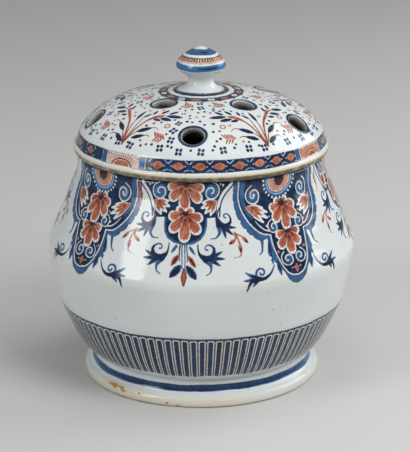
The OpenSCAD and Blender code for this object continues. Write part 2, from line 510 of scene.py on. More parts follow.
# An iron-red flower; lengths and widths are shares of a petal's own where no mm is named
blossomPlan = {
    "petalAlong": (0.1, 0.4, 0.7),
    "petalWide": (0.35, 0.68, 0.95, 0.85),
    "petalTip": 0.85,              # round tip's middle, in half-widths short of the end
    "haloAlong": (0.56, 0.72),     # the same three for the white kept clear round the flower
    "haloWide": (0.86, 1.06, 0.98),
    "haloTip": 0.82,
    "rim": (0.6, -0.05),           # mm off the length and half-width, where a petal parts from the last
    "wash": (1.3, 0.38),           # mm, where its red stops
    "teeth": (-0.55, 0.0, 0.55),   # places across, where the red frays at the tip
    "toothRoot": 2.4,              # mm short of the end
    "toothTip": 0.8,
    "toothRound": 1.2,             # mm more towards the sides
    "toothIn": 0.95,
    "toothWide": (0.45, 0.3),      # mm
    "veins": (-0.5, 0.0, 0.5),
    "veinFrom": (0.2, 0.3),        # along, and in towards the middle
    "veinTo": (0.8, 0.9),
    "veinRound": 0.3,
    "veinWide": (0.34, 0.14),      # mm
    "heartHigh": 0.3,              # mm
    "heartWide": (0.5, 0.9, 0.5),
}


# Petals are (bearing from straight down, length, half-width); side ones are doubled, outermost first
def blossom(patch, x, y, sidePetals, middlePetal, heart):
    patch = place(patch, x, y)
    plan = blossomPlan
    petals = [(side * bearing, *size) for bearing, *size in sidePetals for side in (1, -1)] + [middlePetal]

    def petalSpot(bearing, far, across=0.0):
        a = math.radians(bearing)
        return math.sin(a) * far + math.cos(a) * across, math.cos(a) * far - math.sin(a) * across

    def petal(kind, bearing, length, wide, paint):
        line = [petalSpot(bearing, s * length) for s in plan[kind + "Along"]]
        line.append(petalSpot(bearing, length - plan[kind + "Tip"] * wide))
        brush(patch, line, [w * wide for w in plan[kind + "Wide"]], paint)

    for bearing, length, wide in petals:
        petal("halo", bearing, length, wide, offAll)
    for bearing, length, wide in petals:
        for inset, paint in ((plan["rim"], offWarm), (plan["wash"], inRed)):
            petal("petal", bearing, length - inset[0], wide - inset[1], paint)
        for side in plan["teeth"]:
            tip = length - plan["toothTip"] - plan["toothRound"] * abs(side)
            brush(patch, [petalSpot(bearing, length - plan["toothRoot"], side * wide),
                          petalSpot(bearing, tip, side * wide * plan["toothIn"])], plan["toothWide"], inRed)
        for side in plan["veins"]:
            (startFar, startIn), (endFar, endIn) = plan["veinFrom"], plan["veinTo"]
            end = (endFar - plan["veinRound"] * abs(side)) * length
            brush(patch, [petalSpot(bearing, startFar * length, startIn * side * wide),
                          petalSpot(bearing, end, endIn * side * wide)], plan["veinWide"], inBrown)
    high = plan["heartHigh"]
    brush(patch, [(-heart, -high), (0, high), (heart, -high)], [w * heart for w in plan["heartWide"]],
          darkForRed)


# A half flower seen from the side: narrow petals with white points, fanned from its foot
fanPlan = {
    "haloAlong": (0, 0.6, 1.1),
    "haloWide": (0.6, 1.0, 0.35),      # shares of a petal's half-width
    "haloSwell": (0, 0.5, 0),          # mm more
    "redAlong": (0, 0.5, 0.86),
    "redWide": (0.5, 0.85),            # shares again
    "redPoint": 0.2,                   # mm
    "veinAlong": (0.25, 0.7),
    "veinWide": (0.34, 0.18),          # mm
}


def fanFlower(patch, foot, tips, width):
    plan = fanPlan
    halo = [w * width + more for w, more in zip(plan["haloWide"], plan["haloSwell"])]
    red = [w * width for w in plan["redWide"]] + [plan["redPoint"]]
    for tip in tips:
        brush(patch, along(foot, tip, plan["haloAlong"]), halo, offAll)
    for tip in tips:
        brush(patch, along(foot, tip, plan["redAlong"]), red, inRed)
        brush(patch, along(foot, tip, plan["veinAlong"]), plan["veinWide"], inBrown)


# A blue acanthus leaf: a stem that ends in a tail, a body that rolls up into a curl, and three lobes
acanthusPlan = {
    "stem": [(6.5, -8.6), (6.2, -4.6), (4.9, -1.2), (2.0, 1.8), (-0.6, 4.4), (-1.2, 6.8), (-0.6, 9.2),
             (1.9, 11)],
    "stemWide": [0.35, 0.5, 1.0, 1.6, 1.15, 0.75, 0.5, 0.3],
    "stemDark": [0.25, 0.35, 0.8, 1.4],
    "curl": [(4.9, -1.6), (1.8, 0.2), (-1.6, 0.1), (-3.5, -2.4), (-3.7, -5.4), (-1.9, -7.4), (0.2, -7.8),
             (1.8, -6.5), (1.6, -5), (0.2, -4.9)],
    "curlWide": [1.0, 1.7, 1.9, 1.25, 0.8, 0.6, 0.5, 0.45, 0.5, 0.65],
    "curlDark": [0.9, 1.5, 1.7, 0.95, 0.5, 0.3],
    "root": (-0.6, 0.8),
    "lobes": [(-8.4, -3.1), (-9.4, 1.4), (-6.4, 5.8)],
    "lobeWide": [1.6, 1.3, 0.4],
    "lobeDark": [1.3, 0.35],
    "darkShare": 0.88,
}


def acanthus(patch, x, y, turn):
    patch = place(patch, x, y, turn=turn, flip=-1)
    plan = acanthusPlan
    for part in ("stem", "curl"):
        dark = plan[part + "Dark"]
        brush(patch, plan[part], plan[part + "Wide"], inBlue)
        brush(patch, plan[part][:len(dark)], dark, inNavy)
    for lobe in plan["lobes"]:
        brush(patch, along(plan["root"], lobe, (0, 0.5, 1)), plan["lobeWide"], inBlue)
        brush(patch, [plan["root"], [plan["darkShare"] * c for c in lobe]], plan["lobeDark"], inNavy)


print("brushes ready")


# The jar: one thrown wall from the foot seam to the mouth
jarPlan = {
    "columns": 1296,          # twelve to each painted bar above the foot
    "strips": 2,              # of its bake layout
    "softness": 0.8,          # mm
    "bowlHigh": 54.0,         # mm, height up to which the wall bows out over the foot
    "bowlOut": 3.45,          # mm, by which it does at most
    "bowlPower": 0.65,        # less than 1 brings the fullest part down towards the foot
    "hiddenStep": 6.0,        # mm between rows inside and underneath
    "rowSteps": ((0.0, 1.1), (48.0, 0.32), (56.0, 2.0), (78.0, 0.5)),     # mm: height, step above it
    "rowsFrom": 0.5,          # mm above the seam
    "wallFrom": 0.2,          # mm above the seam
    "skinGap": 0.5,           # mm by which a point of the outer skin may be off its line
    "chartTop": 150.0,        # mm, height where the shoulder's drawing starts
    "chartRadius": 93.0,      # mm, radius at which its widths are true
    "floorThick": 2.0,        # mm above the seam, where the inside starts
    "stainTop": 150.0,        # mm, height where the inside is clean
    "stainRun": 12.0,         # mm down to where it is fully dull
}
jarLine, ring = softOutline("jar_body", jarPlan["softness"])
seamZ = jarLine[0, 1]
outer = np.arange(len(jarLine)) < np.argmax(jarLine[:, 1])
# the wall over the foot, bowed as a thrown bowl is
rise = np.clip((jarLine[:, 1] - seamZ) / (jarPlan["bowlHigh"] - seamZ), 0, 1)
seam = jarLine[outer & (rise == 0)][-1]
bend = jarLine[outer & (rise == 1)][0]
outward = np.array([bend[1] - seam[1], seam[0] - bend[0]]) / np.hypot(*(bend - seam))
bow = jarPlan["bowlOut"] * np.sin(np.pi * rise ** jarPlan["bowlPower"])
jarLine = jarLine + (outer * bow)[:, None] * outward
height = jarLine[:, 1]
steps = np.full(len(jarLine), jarPlan["hiddenStep"])
for low, step in jarPlan["rowSteps"]:
    steps[outer & (height > max(low, seamZ + jarPlan["rowsFrom"]))] = step
jar = turnPiece("jar", jarLine, ring, steps, jarPlan["columns"], jarPlan["strips"])
jarR, jarZ, jarTheta = skinPlaces(jar)
jarLayers = newLayers(jar)
wallLine = jarLine[outer & (height > seamZ + jarPlan["wallFrom"])]
down = lengthAlong(wallLine)
down = np.interp(jarPlan["chartTop"], wallLine[:, 1], down) - down
wallGap = np.abs(jarR - np.interp(jarZ, *wallLine.T[::-1]))
jarOutside = (wallGap < jarPlan["skinGap"]) & (jarZ > wallLine[0, 1])
jarDown = np.interp(jarZ, wallLine[:, 1], down)

# The hanging lambrequins of the shoulder, two kinds by turns, four of each
shoulderPlan = {
    "pendantTurns": (-6.5, 83.5, 173.5, 263.5),     # degrees, where the tasselled ones hang
    "bellTurns": (-49.2, 37.0, 128.5, 218.0),       # degrees, where the bells hang
    "reach": 62.0,           # mm to each side of its middle
    "span": (-3.0, 74.0),    # mm down the wall
    "wobble": 0.35,          # mm by which the hand strays
    "wobbleRun": 0.21,       # radians to a mm
    "tremor": 0.5,           # share of the wobble, in a quicker wave
    "tremorRun": 2.3,        # times the run
    "load": 0.05,
    "tipLoad": 0.3,          # more towards the tips
    "tipDown": 60.0,         # mm
}


def shoulderPatch(turn):
    plan = shoulderPlan
    x = fromTurn(jarTheta, turn) * jarPlan["chartRadius"]
    low, high = plan["span"]
    keep = jarOutside & (np.abs(x) < plan["reach"]) & (jarDown > low) & (jarDown < high)
    run, stray = plan["wobbleRun"], plan["wobble"]
    tremor = plan["tremor"] * stray * np.sin(plan["tremorRun"] * run * x + 2 * turn)
    wobbleX = x + stray * np.sin(run * jarDown + turn) + tremor
    wobbleY = jarDown + stray * np.sin(run * x + 0.5 * turn)
    return openPatch(jarLayers, wobbleX, wobbleY, keep)


# The tasselled pendant: its ground, one half, a sprig on its left alone, and what hangs in its middle
pendantEdge = [(34, -3), (30, 1.5), (26.6, 5), (23.7, 10), (22.1, 15), (21.3, 20.5)]
pendantCup = [(14.6, 20.5), (14.5, 25), (13.4, 29.8), (10.6, 33.8), (6, 36.6), (0, 37.5)]
cupGround = [(13.2, 20.5), (13.1, 24.8), (12, 29.2), (9.4, 32.7), (5.2, 35.2), (0, 36)]
pendantGround = [
    (fill, bothSides(pendantEdge + pendantCup), inBlue),
    (fill, bothSides(pendantEdge), inNavy),
    (fill, bothSides(cupGround), inNavy),
]
pendantHalf = [
    (brush, pendantEdge, 0.5, offGround),
    (brush, [(36, -3), (32.2, 1.8), (28.4, 6.2), (25.4, 10.8), (23.7, 15.4), (23, 20)], 0.45, inGround),
    (dab, 18.2, 4.4, 4.6, offNavy),
    (volute, 18.2, 4.4, 6.2, -80, 1.4, 0.42, offGround),
    (dab, 26.4, 0.4, 0.8, offGround),
    (dab, 24.6, -0.4, 0.6, offGround),
    (fanFlower, (21.4, 10.6), [(12.7, 10.6), (11.9, 13.6), (14, 16.7), (17.5, 18)], 1.5),
    (acanthus, 24.4, 25.2, 32),
    (acanthus, 15.4, 45, 0),
    # red sprig under the upper leaf
    (brush, [(32.2, 29.8), (34.2, 31.2), (37.2, 32.6)], 0.5, inRed),
    (brush, [(32.4, 30), (34.2, 33.4), (35.6, 37.4)], [0.5, 0.45, 0.6], inRed),
    (brush, [(32.6, 31), (33, 33), (32.6, 35)], [0.5, 0.45, 0.5], inRed),
    (brush, [(35.8, 42), (35, 44.6), (31, 45.8)], [0.5, 0.35, 0.2], inRed),
    (redLeaf, (37, 32.6), (41.4, 37.2), 1.25),
    (redLeaf, (35.4, 36.8), (35.7, 43), 1.3),
    (redLeaf, (32.8, 34.6), (28.8, 37.4), 1.25),
    # tassel
    (brush, [(4.4, 38.4), (5.6, 40.4), (7.2, 42.8)], [0.8, 1, 0.3], inBlue),
    (brush, [(0.9, 37.4), (1, 44), (0.9, 52)], [0.5, 0.4, 0.35], inBlue),
    (brush, [(2.2, 37.4), (2.6, 43), (2.5, 47.6)], [0.5, 0.4, 0.35], inNavy),
    (fatLeaf, (3.1, 43.6), (7.3, 51), 1.6, inRed),
    (fatLeaf, (3.1, 43.6), (7.3, 51), 0.75, inBrown),
    (fatLeaf, (1.8, 49.8), (7.8, 58.4), 2.3, inBlue),
    (fatLeaf, (2, 50.2), (7.6, 58), 1.5, inNavy),
]
pendantLeft = [
    (leaf, (34, 1), (32.2, 12.9), 1.25, inRed, -0.1),
    (brush, [(33.4, 4), (32.1, 8), (32, 12)], [0.2, 0.4, 0.3], inBrown),
    (brush, [(32.1, 11.4), (33.2, 14.6), (35.3, 16.4)], [0.6, 0.45, 0.3], inRed),
]
pendantMiddle = [
    (blossom, 0, 0, [(82, 13, 3), (48, 14.6, 3.5)], (-3, 15.8, 4), 1.6),
    (blossom, 0, 17.8, [(118, 6.4, 2.3), (76, 11.6, 3.2), (38, 15, 3.5)], (0, 17.6, 4), 1.6),
    (leaf, (0.3, 52), (0.7, 62.8), 2, inRed),
    (brush, [(-0.1, 52.4), (-1, 57), (0.5, 62.8)], 0.35, inBrown),
    (brush, [(0.7, 52.4), (2, 57), (0.9, 62.8)], 0.35, inBrown),
]


def paintPendant(patch):
    paintRows(patch, pendantGround)
    left = place(patch, 0, 0, flip=-1)
    paintRows(patch, pendantHalf)
    paintRows(left, pendantHalf + pendantLeft)
    paintRows(patch, pendantMiddle)


# The bell: its ground, one half, a daisy half under the lid, and the flowers in its middle
bellEdge = [(36.6, -3), (37, 2), (37.2, 8), (36.9, 13), (36.4, 17.6), (34.8, 22.6), (32, 27.8), (28.4, 32.2),
            (24.4, 35.6), (20.2, 37.8), (16.2, 36.4)]
tongueEdge = [(15.8, 40), (16.3, 45), (14.6, 51.4), (12, 54), (8.6, 59), (6.4, 63.2), (3.2, 66.2), (0, 67.3)]
bellLine = [(32.6, -3), (32.9, 6), (32.4, 13), (31, 18.7), (28.2, 24.8), (24, 29.8), (19, 33.2),
            (13.6, 34.2)]
tongueLine = [(13.6, 34.2), (13.3, 39), (12.4, 44), (10.9, 50.2), (8.4, 56), (4.8, 60.2), (0, 61.7)]
tongueStem = [(15.5, 53.3), (18, 57.9), (22, 60.7), (27, 60.9), (31, 62), (33, 67.5)]
lobeRoot = (26, 60.4)
tongueLobes = [((31.1, 60.45), (35.2, 60.4)), ((30.4, 57.95), (33.8, 55.4)), ((28.3, 62.65), (29.6, 64.8))]
bellGround = [
    (fill, bothSides(bellEdge + tongueEdge), inBlue),
    (fill, bothSides(bellLine + tongueLine), inNavy),
]
bellHalf = [
    # lobed edge outside the white line
    (leaf, (15.4, 38), (15.8, 52.6), 1.8, inBlue),
    (leaf, (15.4, 38), (15.72, 49.68), 0.7, inNavy),
    (leaf, (12.6, 50.5), (11.4, 60.2), 1.9, inBlue),
    (leaf, (12.6, 50.5), (11.64, 58.26), 0.7, inNavy),
    (brush, [(20, 37.4), (20.2, 41), (21, 44.2), (23.2, 45.9)], [1.2, 0.8, 0.55, 0.35], inBlue),
    (dabs, [(37.6, 5.2), (37.5, 11.2), (36.9, 17), (34.5, 23.4), (31.1, 29.2), (26.8, 34), (16.6, 48.6)],
     1.0, offBlue),
    (brush, [(30, -2), (30.2, 6), (29.6, 13), (28.2, 18), (25.4, 23)], [1.6, 1.6, 1.4, 1.1, 0.5], offNavy),
    (brush, bellLine, 0.42, offGround),
    (brush, tongueLine, 0.42, offGround),
    # white scrolls kept clear in the ground, blue inside them
    (dab, 21.4, 8.8, 4.8, offNavy),
    (volute, 21.4, 8.8, 6.9, -75, 1.55, 0.44, offGround),
    (dab, 20.8, 8.6, 1.0, offGround),
    (dab, 10.6, 29.4, 2.6, offNavy),
    (volute, 10.6, 29.4, 4.8, -80, 1.45, 0.4, offGround),
    (brush, [(14.6, 31.8), (17.6, 30.6), (21, 27.6), (23.6, 24.4)], [0.5, 0.45, 0.4, 0.25], offGround),
    (dab, 4.4, 50.4, 3, offNavy),
    (volute, 4.5, 50.6, 5.2, -70, 1.45, 0.4, offGround),
    (dab, 10, 45.4, 0.9, redForGround),
    (dab, 15.4, 28.6, 0.8, offGround),
    (dabs, [(24.6, 20.2), (12.6, 22.6), (9.6, 39.6), (3.2, 56.8)], 0.5, offGround),
    (fanFlower, (27.4, 15.8), [(17, 16.8), (14.6, 19.4), (15.2, 22.8), (18.4, 25.2)], 1.6),
    # leaf beside the tongue
    (brush, tongueStem, [0.4, 0.6, 1.1, 1.6, 1.1, 0.4], inBlue),
    (brush, tongueStem[1:], [0.3, 0.8, 1.2, 0.8, 0.3], inNavy),
    (volute, 24.4, 57, 4.2, 120, -1.3, 0.7, inBlue),
]
bellHalf += [(brush, [lobeRoot, *lobe], [1.4, 1.2, 0.35], inBlue) for lobe in tongueLobes]
bellHalf += [(brush, [lobeRoot, middle], [1.1, 0.6], inNavy) for middle, tip in tongueLobes]
daisyPlan = {
    "middle": (0, 0.2),        # mm
    "oval": (13, 10.8),        # mm, half across and half down
    "rays": 7,                 # to each side of the middle one
    "spread": 13,              # degrees from ray to ray
    "dotOval": (14, 11.9),     # white dots outside it
    "dot": 0.85,
    "strokes": (               # of each ray: from, to, half-widths
        ((4, 3.2), (9, 7.2), [0.6, 1.1], offAll),
        ((4, 3.2), (8.7, 7), [0.5, 0.9], inRed),
        ((4.2, 3.4), (6.6, 5.2), [0.26, 0.1], inBrown),
    ),
    "ringOval": (11.4, 9.4),
    "ringTurns": range(-95, 96, 19),      # degrees
    "ringHalf": 0.22,
    "heart": 4.2,              # mm
    "heartReach": 4.4,
    "heartLoad": 0.6,
    "paleLoad": -0.5,
}


# A daisy half: dark heart, red rays, a lighter ring and white dots
def paintDaisy(patch):
    plan = daisyPlan
    daisy = place(patch, *plan["middle"])

    def ovalSpot(degrees, oval):
        a = math.radians(degrees)
        return oval[0] * math.sin(a), oval[1] * math.cos(a)

    fill(daisy, ellipse(0, 0, *plan["oval"]), offNavy)
    for k in range(-plan["rays"], plan["rays"] + 1):
        turn = plan["spread"] * k
        dab(daisy, *ovalSpot(turn, plan["dotOval"]), plan["dot"], offGround)
        for start, end, widths, paint in plan["strokes"]:
            brush(daisy, [ovalSpot(turn, start), ovalSpot(turn, end)], widths, paint)
    brush(daisy, [ovalSpot(t, plan["ringOval"]) for t in plan["ringTurns"]], plan["ringHalf"], offGround)
    dab(daisy, 0, 0, plan["heart"], darkForRed)
    load = patch["layers"]["load"]
    wide, high = plan["oval"]
    load[daisy["at"][np.hypot(daisy["x"] / wide, daisy["y"] / high) < 1]] = plan["paleLoad"]
    load[daisy["at"][np.hypot(daisy["x"], daisy["y"]) < plan["heartReach"]]] = plan["heartLoad"]


bellMiddle = [
    (paintDaisy,),
    (blossom, 0.2, 15.7, [(116, 5.8, 2.3), (76, 11.2, 3.1), (42, 14.2, 3.5)], (0, 16.8, 3.9), 1.9),
    (blossom, 0, 33.5, [(80, 9.6, 2.8), (40, 12.8, 3.2)], (0, 14.6, 3.6), 1.6),
    (leaf, (0, 55.2), (0, 60), 1.3, redForGround),
    (leaf, (-2, 56.8), (2.2, 57), 0.8, redForGround),
]


def paintBell(patch):
    paintRows(patch, bellGround)
    paintRows(patch, bellHalf)
    paintRows(place(patch, 0, 0, flip=-1), bellHalf)
    paintRows(patch, bellMiddle)


tipShare = np.clip(jarDown / shoulderPlan["tipDown"], 0, 1)
jarLayers["load"] += shoulderPlan["load"] + shoulderPlan["tipLoad"] * tipShare
for turn in shoulderPlan["pendantTurns"]:
    paintPendant(shoulderPatch(turn))
for turn in shoulderPlan["bellTurns"]:
    paintBell(shoulderPatch(turn))
print("shoulder painted")

# The bars above the foot: arched dark bars in white outlines, a brown line between, a dark cord over them
barPlan = {
    "count": 108,
    "start": 1000.35,       # number of the bar in front; its fraction turns them all
    "low": 22.3,            # mm
    "high": 53.9,           # mm, top of the cord
    "cordLow": 1.6,         # mm from the top of the cord down to its scallops
    "barShare": 0.275,      # half a bar, as a share of the pitch
    "whiteShare": 0.41,     # to the outside of its white outline
    "corner": 0.45,         # rounding of an arch, as a share of its half width
    "brownTop": 0.7,        # half-widths of white below an arch, where the brown line ends
    "brownSwell": 0.05,     # mm
    "cordDeep": 0.6,        # half-widths of white that the cord's scallops hang down
    "wander": ((0.16, 11, 0.3, 0.0), (0.12, 29, 0.0, 0.0)),     # waves, mm
    "footWander": 2.0,      # times as much at the foot of the bars
    "zoneOver": 5.0,        # mm above the cord
    "load": 0.3,
    "frontPale": 0.25,      # paler towards this bearing
    "frontTurn": 0.35,      # radians
    "eachLoad": 0.2,        # from bar to bar
    "eachRuns": (2.4, 0.7),       # radians to a bar
    "brownLoad": -0.6,
    "cordLoad": 0.6,
    "cordReach": 0.8,       # mm
    "ridge": 90.0,          # mm, height of the belly's rubbed ridge
    "ridgeHalf": 0.6,
    "ridgeWorn": 0.5,
    "ridgeWaves": ((0.3, 5, 0.0, 0.0), (0.2, 31, 0.0, 0.0)),
}
pitch = 360 / barPlan["count"]
barPlace = np.degrees(jarTheta) / pitch + barPlan["start"]
cell = barPlace % 1 - 0.5
cellWide = np.radians(pitch) * jarR
wander = waver(barPlan["wander"], jarTheta, jarZ)


# Distance to a bar of that half width, arched at its top and open at its foot
def archEdge(half, top):
    corner = barPlan["corner"] * half
    across = np.abs(cell * cellWide) - half + corner
    above = jarZ - top + corner
    outside = np.hypot(np.maximum(across, 0), np.maximum(above, 0))
    return outside + np.minimum(np.maximum(across, above), 0) - corner


halfBar = barPlan["barShare"] * cellWide
halfWhite = barPlan["whiteShare"] * cellWide
archTop = barPlan["high"] - barPlan["cordLow"] + wander
whiteEdge = archEdge(halfWhite, archTop)
barFoot = barPlan["low"] + barPlan["footWander"] * wander - jarZ
bar = np.maximum(archEdge(halfBar, archTop + halfBar - halfWhite), barFoot)
brownTop = jarZ - archTop + barPlan["brownTop"] * halfWhite
brown = np.maximum(-whiteEdge, np.maximum(barFoot, brownTop)) - barPlan["brownSwell"]
cordSpan = np.maximum(jarZ - barPlan["high"] - wander, archTop - barPlan["cordDeep"] * halfWhite - jarZ)
cord = np.maximum(-whiteEdge, cordSpan)
zone = jarOutside & (jarZ < barPlan["high"] + barPlan["zoneOver"])
layZone(jarLayers, ground, zone, bar)
layZone(jarLayers, ("navy",), zone, cord)
layZone(jarLayers, ("line",), zone, brown)
eachLoad = np.prod([np.sin(run * np.floor(barPlace)) for run in barPlan["eachRuns"]], axis=0)
barLoad = barPlan["load"] - barPlan["frontPale"] * np.cos(jarTheta - barPlan["frontTurn"])
barLoad = barLoad + barPlan["eachLoad"] * eachLoad
barLoad = np.where(whiteEdge > 0, barPlan["brownLoad"], barLoad)
barLoad = np.where(jarZ > archTop - barPlan["cordReach"], barPlan["cordLoad"], barLoad)
jarLayers["load"] = np.where(zone, barLoad, jarLayers["load"])
ridge = np.exp(-((jarZ - barPlan["ridge"]) / barPlan["ridgeHalf"]) ** 2)
ridge = ridge * (barPlan["ridgeWorn"] + waver(barPlan["ridgeWaves"], jarTheta))
jarLayers["wear"] = np.where(jarOutside, ridge, 0.0)
jarInside = ~jarOutside & (jarZ > seamZ + jarPlan["floorThick"])
dulled = np.clip((jarPlan["stainTop"] - jarZ) / jarPlan["stainRun"], 0, 1)
jarLayers["stain"] = np.where(jarInside, dulled, 0.0)
keepLayers(jar, jarLayers)
print("bars painted")


# The foot ring: glazed over, its edge rubbed down to the clay
footPlan = {
    "columns": 720,
    "strips": 2,
    "softness": 0.5,         # mm
    "step": 0.6,             # mm
    "hiddenStep": 4.0,       # mm
    "outerDeep": 8.0,        # mm in from the edge, as far as the outer skin reaches
    "innerDeep": 9.0,        # mm in from the edge, where the dull inside starts
    "innerStain": 0.6,
    "band": (9.4, 13.7),     # mm, from and to height
    "bandSway": ((0.2, 3, 0.0, 1.0), (0.14, 8, 0.0, 0.0), (0.06, 23, 0.0, 2.0)),     # waves, mm
    "bandThin": ((0.1, 17, 0.0, 1.0),),
    "navyIn": 2.6,           # mm that the dark wash draws in from front to side
    "frontPale": 0.3,
    "wornHigh": 6.8,         # mm
    "wornInset": 4.5,        # mm in from the edge
    "worn": 0.5,
    "wornWaves": ((0.3, 2, 0.0, 2.4), (0.14, 7, 0.0, 0.0)),
    "standHigh": 1.6,        # mm, below which it is worn from standing
    "rubWorn": 1.4,
    "rubs": [(-46, 6.0, 12.0, 1.7), (-38, 5.0, 9.0, 1.2), (-16, 2.6, 2.6, 1.2), (6.4, 4.6, 1.0, 0.8),
             (63, 6.2, 3.2, 1.1), (128, 4.5, 6.0, 2.2), (190, 5.0, 4.0, 1.8),
             (238, 3.5, 7.5, 2.0)],     # bearing in degrees, height, half sizes in mm
    "chips": [(-34, 78.6, 4.6, 1.4), (-31, 78.4, 5.4, 1.9), (-11, 78.2, 0.9, 2.4), (13, 78.7, 4, 0.8),
              (47, 77.6, 5.8, 1.2), (104, 78.4, 1.0, 2.8), (163, 78.6, 4.2, 1.7), (214, 78.2, 0.9, 2.2),
              (262, 78.5, 5, 1.5)],
}
footLine, ring = softOutline("foot_ring", footPlan["softness"])
footWide = footLine[:, 0].max()
hidden = footLine[:, 0] < footWide - footPlan["outerDeep"]
steps = np.where(hidden, footPlan["hiddenStep"], footPlan["step"])
foot = turnPiece("foot", footLine, ring, steps, footPlan["columns"], footPlan["strips"])
footR, footZ, footTheta = skinPlaces(foot)
footLayers = newLayers(foot)
footOutside = footR > footWide - footPlan["outerDeep"]
band = bandEdge(footZ, footPlan["band"], waver(footPlan["bandSway"], footTheta))
band = band - waver(footPlan["bandThin"], footTheta)
layZone(footLayers, ("blue",), footOutside, band)
layZone(footLayers, ("navy",), footOutside, band + footPlan["navyIn"] * (1 - np.cos(footTheta)))
footLayers["load"] = -footPlan["frontPale"] * np.cos(footTheta)
rubbed = np.clip(1 - (footWide - footR) / footPlan["wornInset"], 0, 1) * (footZ < footPlan["wornHigh"])
rubbed = rubbed * (footPlan["worn"] + waver(footPlan["wornWaves"], footTheta))
footLayers["wear"] = np.maximum(rubbed, np.clip(footPlan["standHigh"] - footZ, 0, 1))
for bearing, z, wide, high in footPlan["rubs"]:
    across = fromTurn(footTheta, bearing) * footR / wide
    rub = footPlan["rubWorn"] * np.exp(-across ** 2 - ((footZ - z) / high) ** 2)
    footLayers["wear"] = np.maximum(footLayers["wear"], rub)
footLayers["stain"] = np.where(footR < footWide - footPlan["innerDeep"], footPlan["innerStain"], 0.0)
chipEdge(foot, footLayers, footPlan["chips"])
keepLayers(foot, footLayers)
print("foot painted")


# The lid: lip, upright band and a dome pierced by two rings of vents
lidPlan = {
    "columns": 1200,
    "strips": 2,
    "softness": 0.7,         # mm
    "hiddenStep": 5.0,       # mm between rows inside
    "rowSteps": ((0.0, 0.5), (156.6, 0.36), (167.0, 0.45)),     # mm: height, step above it
    "knobStep": 2.0,         # mm under the knob
    "lipUnder": 40,          # fine steps that the outer skin reaches under the lip
    "ventBake": 0.06,        # share of the bake layout left for the walls of the vents
    "knobFoot": 17.5,        # mm, radius where the knob stands
    "knobLap": (0.5, 1.0),   # mm under the knob's edge, where the paint and the fine rows end
    "bandLow": 157.6,        # mm, foot of the upright band
    "bandHigh": 166.0,       # mm, where the dome springs
    "domeFrom": 1.5,         # mm below that, where a point may still be on the dome
    "bandLap": 1.0,          # mm that its line runs on below and above
    "bandOver": 2.0,         # mm above it, where a point may still be on it
    "domeGap": 0.45,         # mm by which a point may be off the dome
    "bandGap": 0.4,          # and off the band
    "lipRadius": 83.8,       # mm
    "lipMiddle": 154.2,      # mm
    "lipHalf": 1.6,          # mm
    "lipReach": 3.4,         # mm over which its wear fades
    "lipWorn": 0.8,
    "lipDeep": 4.0,          # mm in from its edge
    "lipDirtAndShadeTop": 155.9,       # mm, below which the lip's lower edge is darkened: brown dirt, and painted shadow where it overhangs the jar
    "dirtAndShadeRun": 0.8,          # mm
    "dirtAndShadeMost": 0.95,
    "dirtAndShadeLeast": 0.75,    # dirt and painted shadow away from the hands
    "dirtAndShadeTurn": 0.3,      # radians round from the front, where it is most
    "dirtAndShadeReach": 0.5,
    "insideLow": 158.0,      # mm
    "ventDarkening": (0.4, 1.6),     # mm into the wall where it starts to dull, and over which it does
    "domeLoad": 0.35,
    "bandLoad": -0.1,
    "chips": [(4, 83.4, 152.6, 1.6), (17, 83.5, 152.8, 2.2), (29, 83.4, 152.5, 1.4), (52, 83.7, 154.0, 1.0),
              (-22, 83.5, 152.6, 1.3), (-61, 83.6, 153.2, 1.7), (98, 83.5, 152.7, 2.0),
              (171, 83.6, 153, 1.5), (233, 83.5, 152.7, 2.3)],
}
lidLine, ring = softOutline("lid_dome", lidPlan["softness"])
outer = np.arange(len(lidLine)) > np.argmax(lidLine[:, 0]) - lidPlan["lipUnder"]
paintLap, rowLap = lidPlan["knobLap"]
radius, height = lidLine.T
steps = np.full(len(lidLine), lidPlan["hiddenStep"])
for low, step in lidPlan["rowSteps"]:
    steps[outer & (height > low)] = step
steps[outer & (radius < lidPlan["knobFoot"] - rowLap)] = lidPlan["knobStep"]
lid = turnPiece("lid", lidLine, ring, steps, lidPlan["columns"], lidPlan["strips"], lidPlan["ventBake"])
domeStart = lidPlan["knobFoot"] - paintLap
domeLine = lidLine[outer & (height > lidPlan["bandHigh"]) & (radius > domeStart)][::-1]
domeRho = domeStart + lengthAlong(domeLine)

ventPlan = {
    "places": ((-41.5, 35.5), (44, 39.3), (116, 47.8), (178, 44), (234.5, 49.5), (-4.2, 67), (64, 69.2),
               (138, 68), (212, 68), (281.5, 70.4)),      # degrees round from the front, mm from the axis
    "bore": 7.0,                       # mm, radius of a vent
    "flare": 0.9,                      # mm, how far its edge is softened
    "flareTurns": range(9, 72, 9),     # degrees
    "cutterWide": 3.0,                 # flares beyond the bore
    "cutterLift": 1.1,                 # flares above the dome, where it widens
    "inward": 16.0,                    # mm
    "outward": 6.0,                    # mm
    "columns": 72,
    "slopeSteps": 20,                  # fine steps to each side, over which the dome's slope is taken
    "bakeWide": (0.05, 0.9),           # margin and width of a vent's walls in its share of the bake layout
    "bakeHigh": (0.1, 0.8),
    "ring": (7.4, 8.9),                # mm, the painted ring round it
    "ringWaves": ((0.25, 5, 0.3, 0.0),),
    "ringBlue": 0.3,                   # mm that its blue shows round the navy
    "white": 0.5,                      # mm kept clear round the ring
    "reach": 6.0,                      # mm above and below the dome
}


# Middle and outward direction of each vent, square to the dome
def ventSeats():
    seats = []
    span = ventPlan["slopeSteps"]
    for turn, r in ventPlan["places"]:
        k = int(np.searchsorted(domeLine[:, 0], r))
        slopeR, slopeZ = domeLine[k + span] - domeLine[k - span]
        size = math.hypot(slopeR, slopeZ)
        a = math.radians(turn)
        rim = r * thrownRound(a)
        middle = np.array([rim * math.sin(a), -rim * math.cos(a), np.interp(r, *domeLine.T)])
        seats.append((middle, np.array([-slopeZ * math.sin(a), slopeZ * math.cos(a), slopeR]) / size))
    return seats


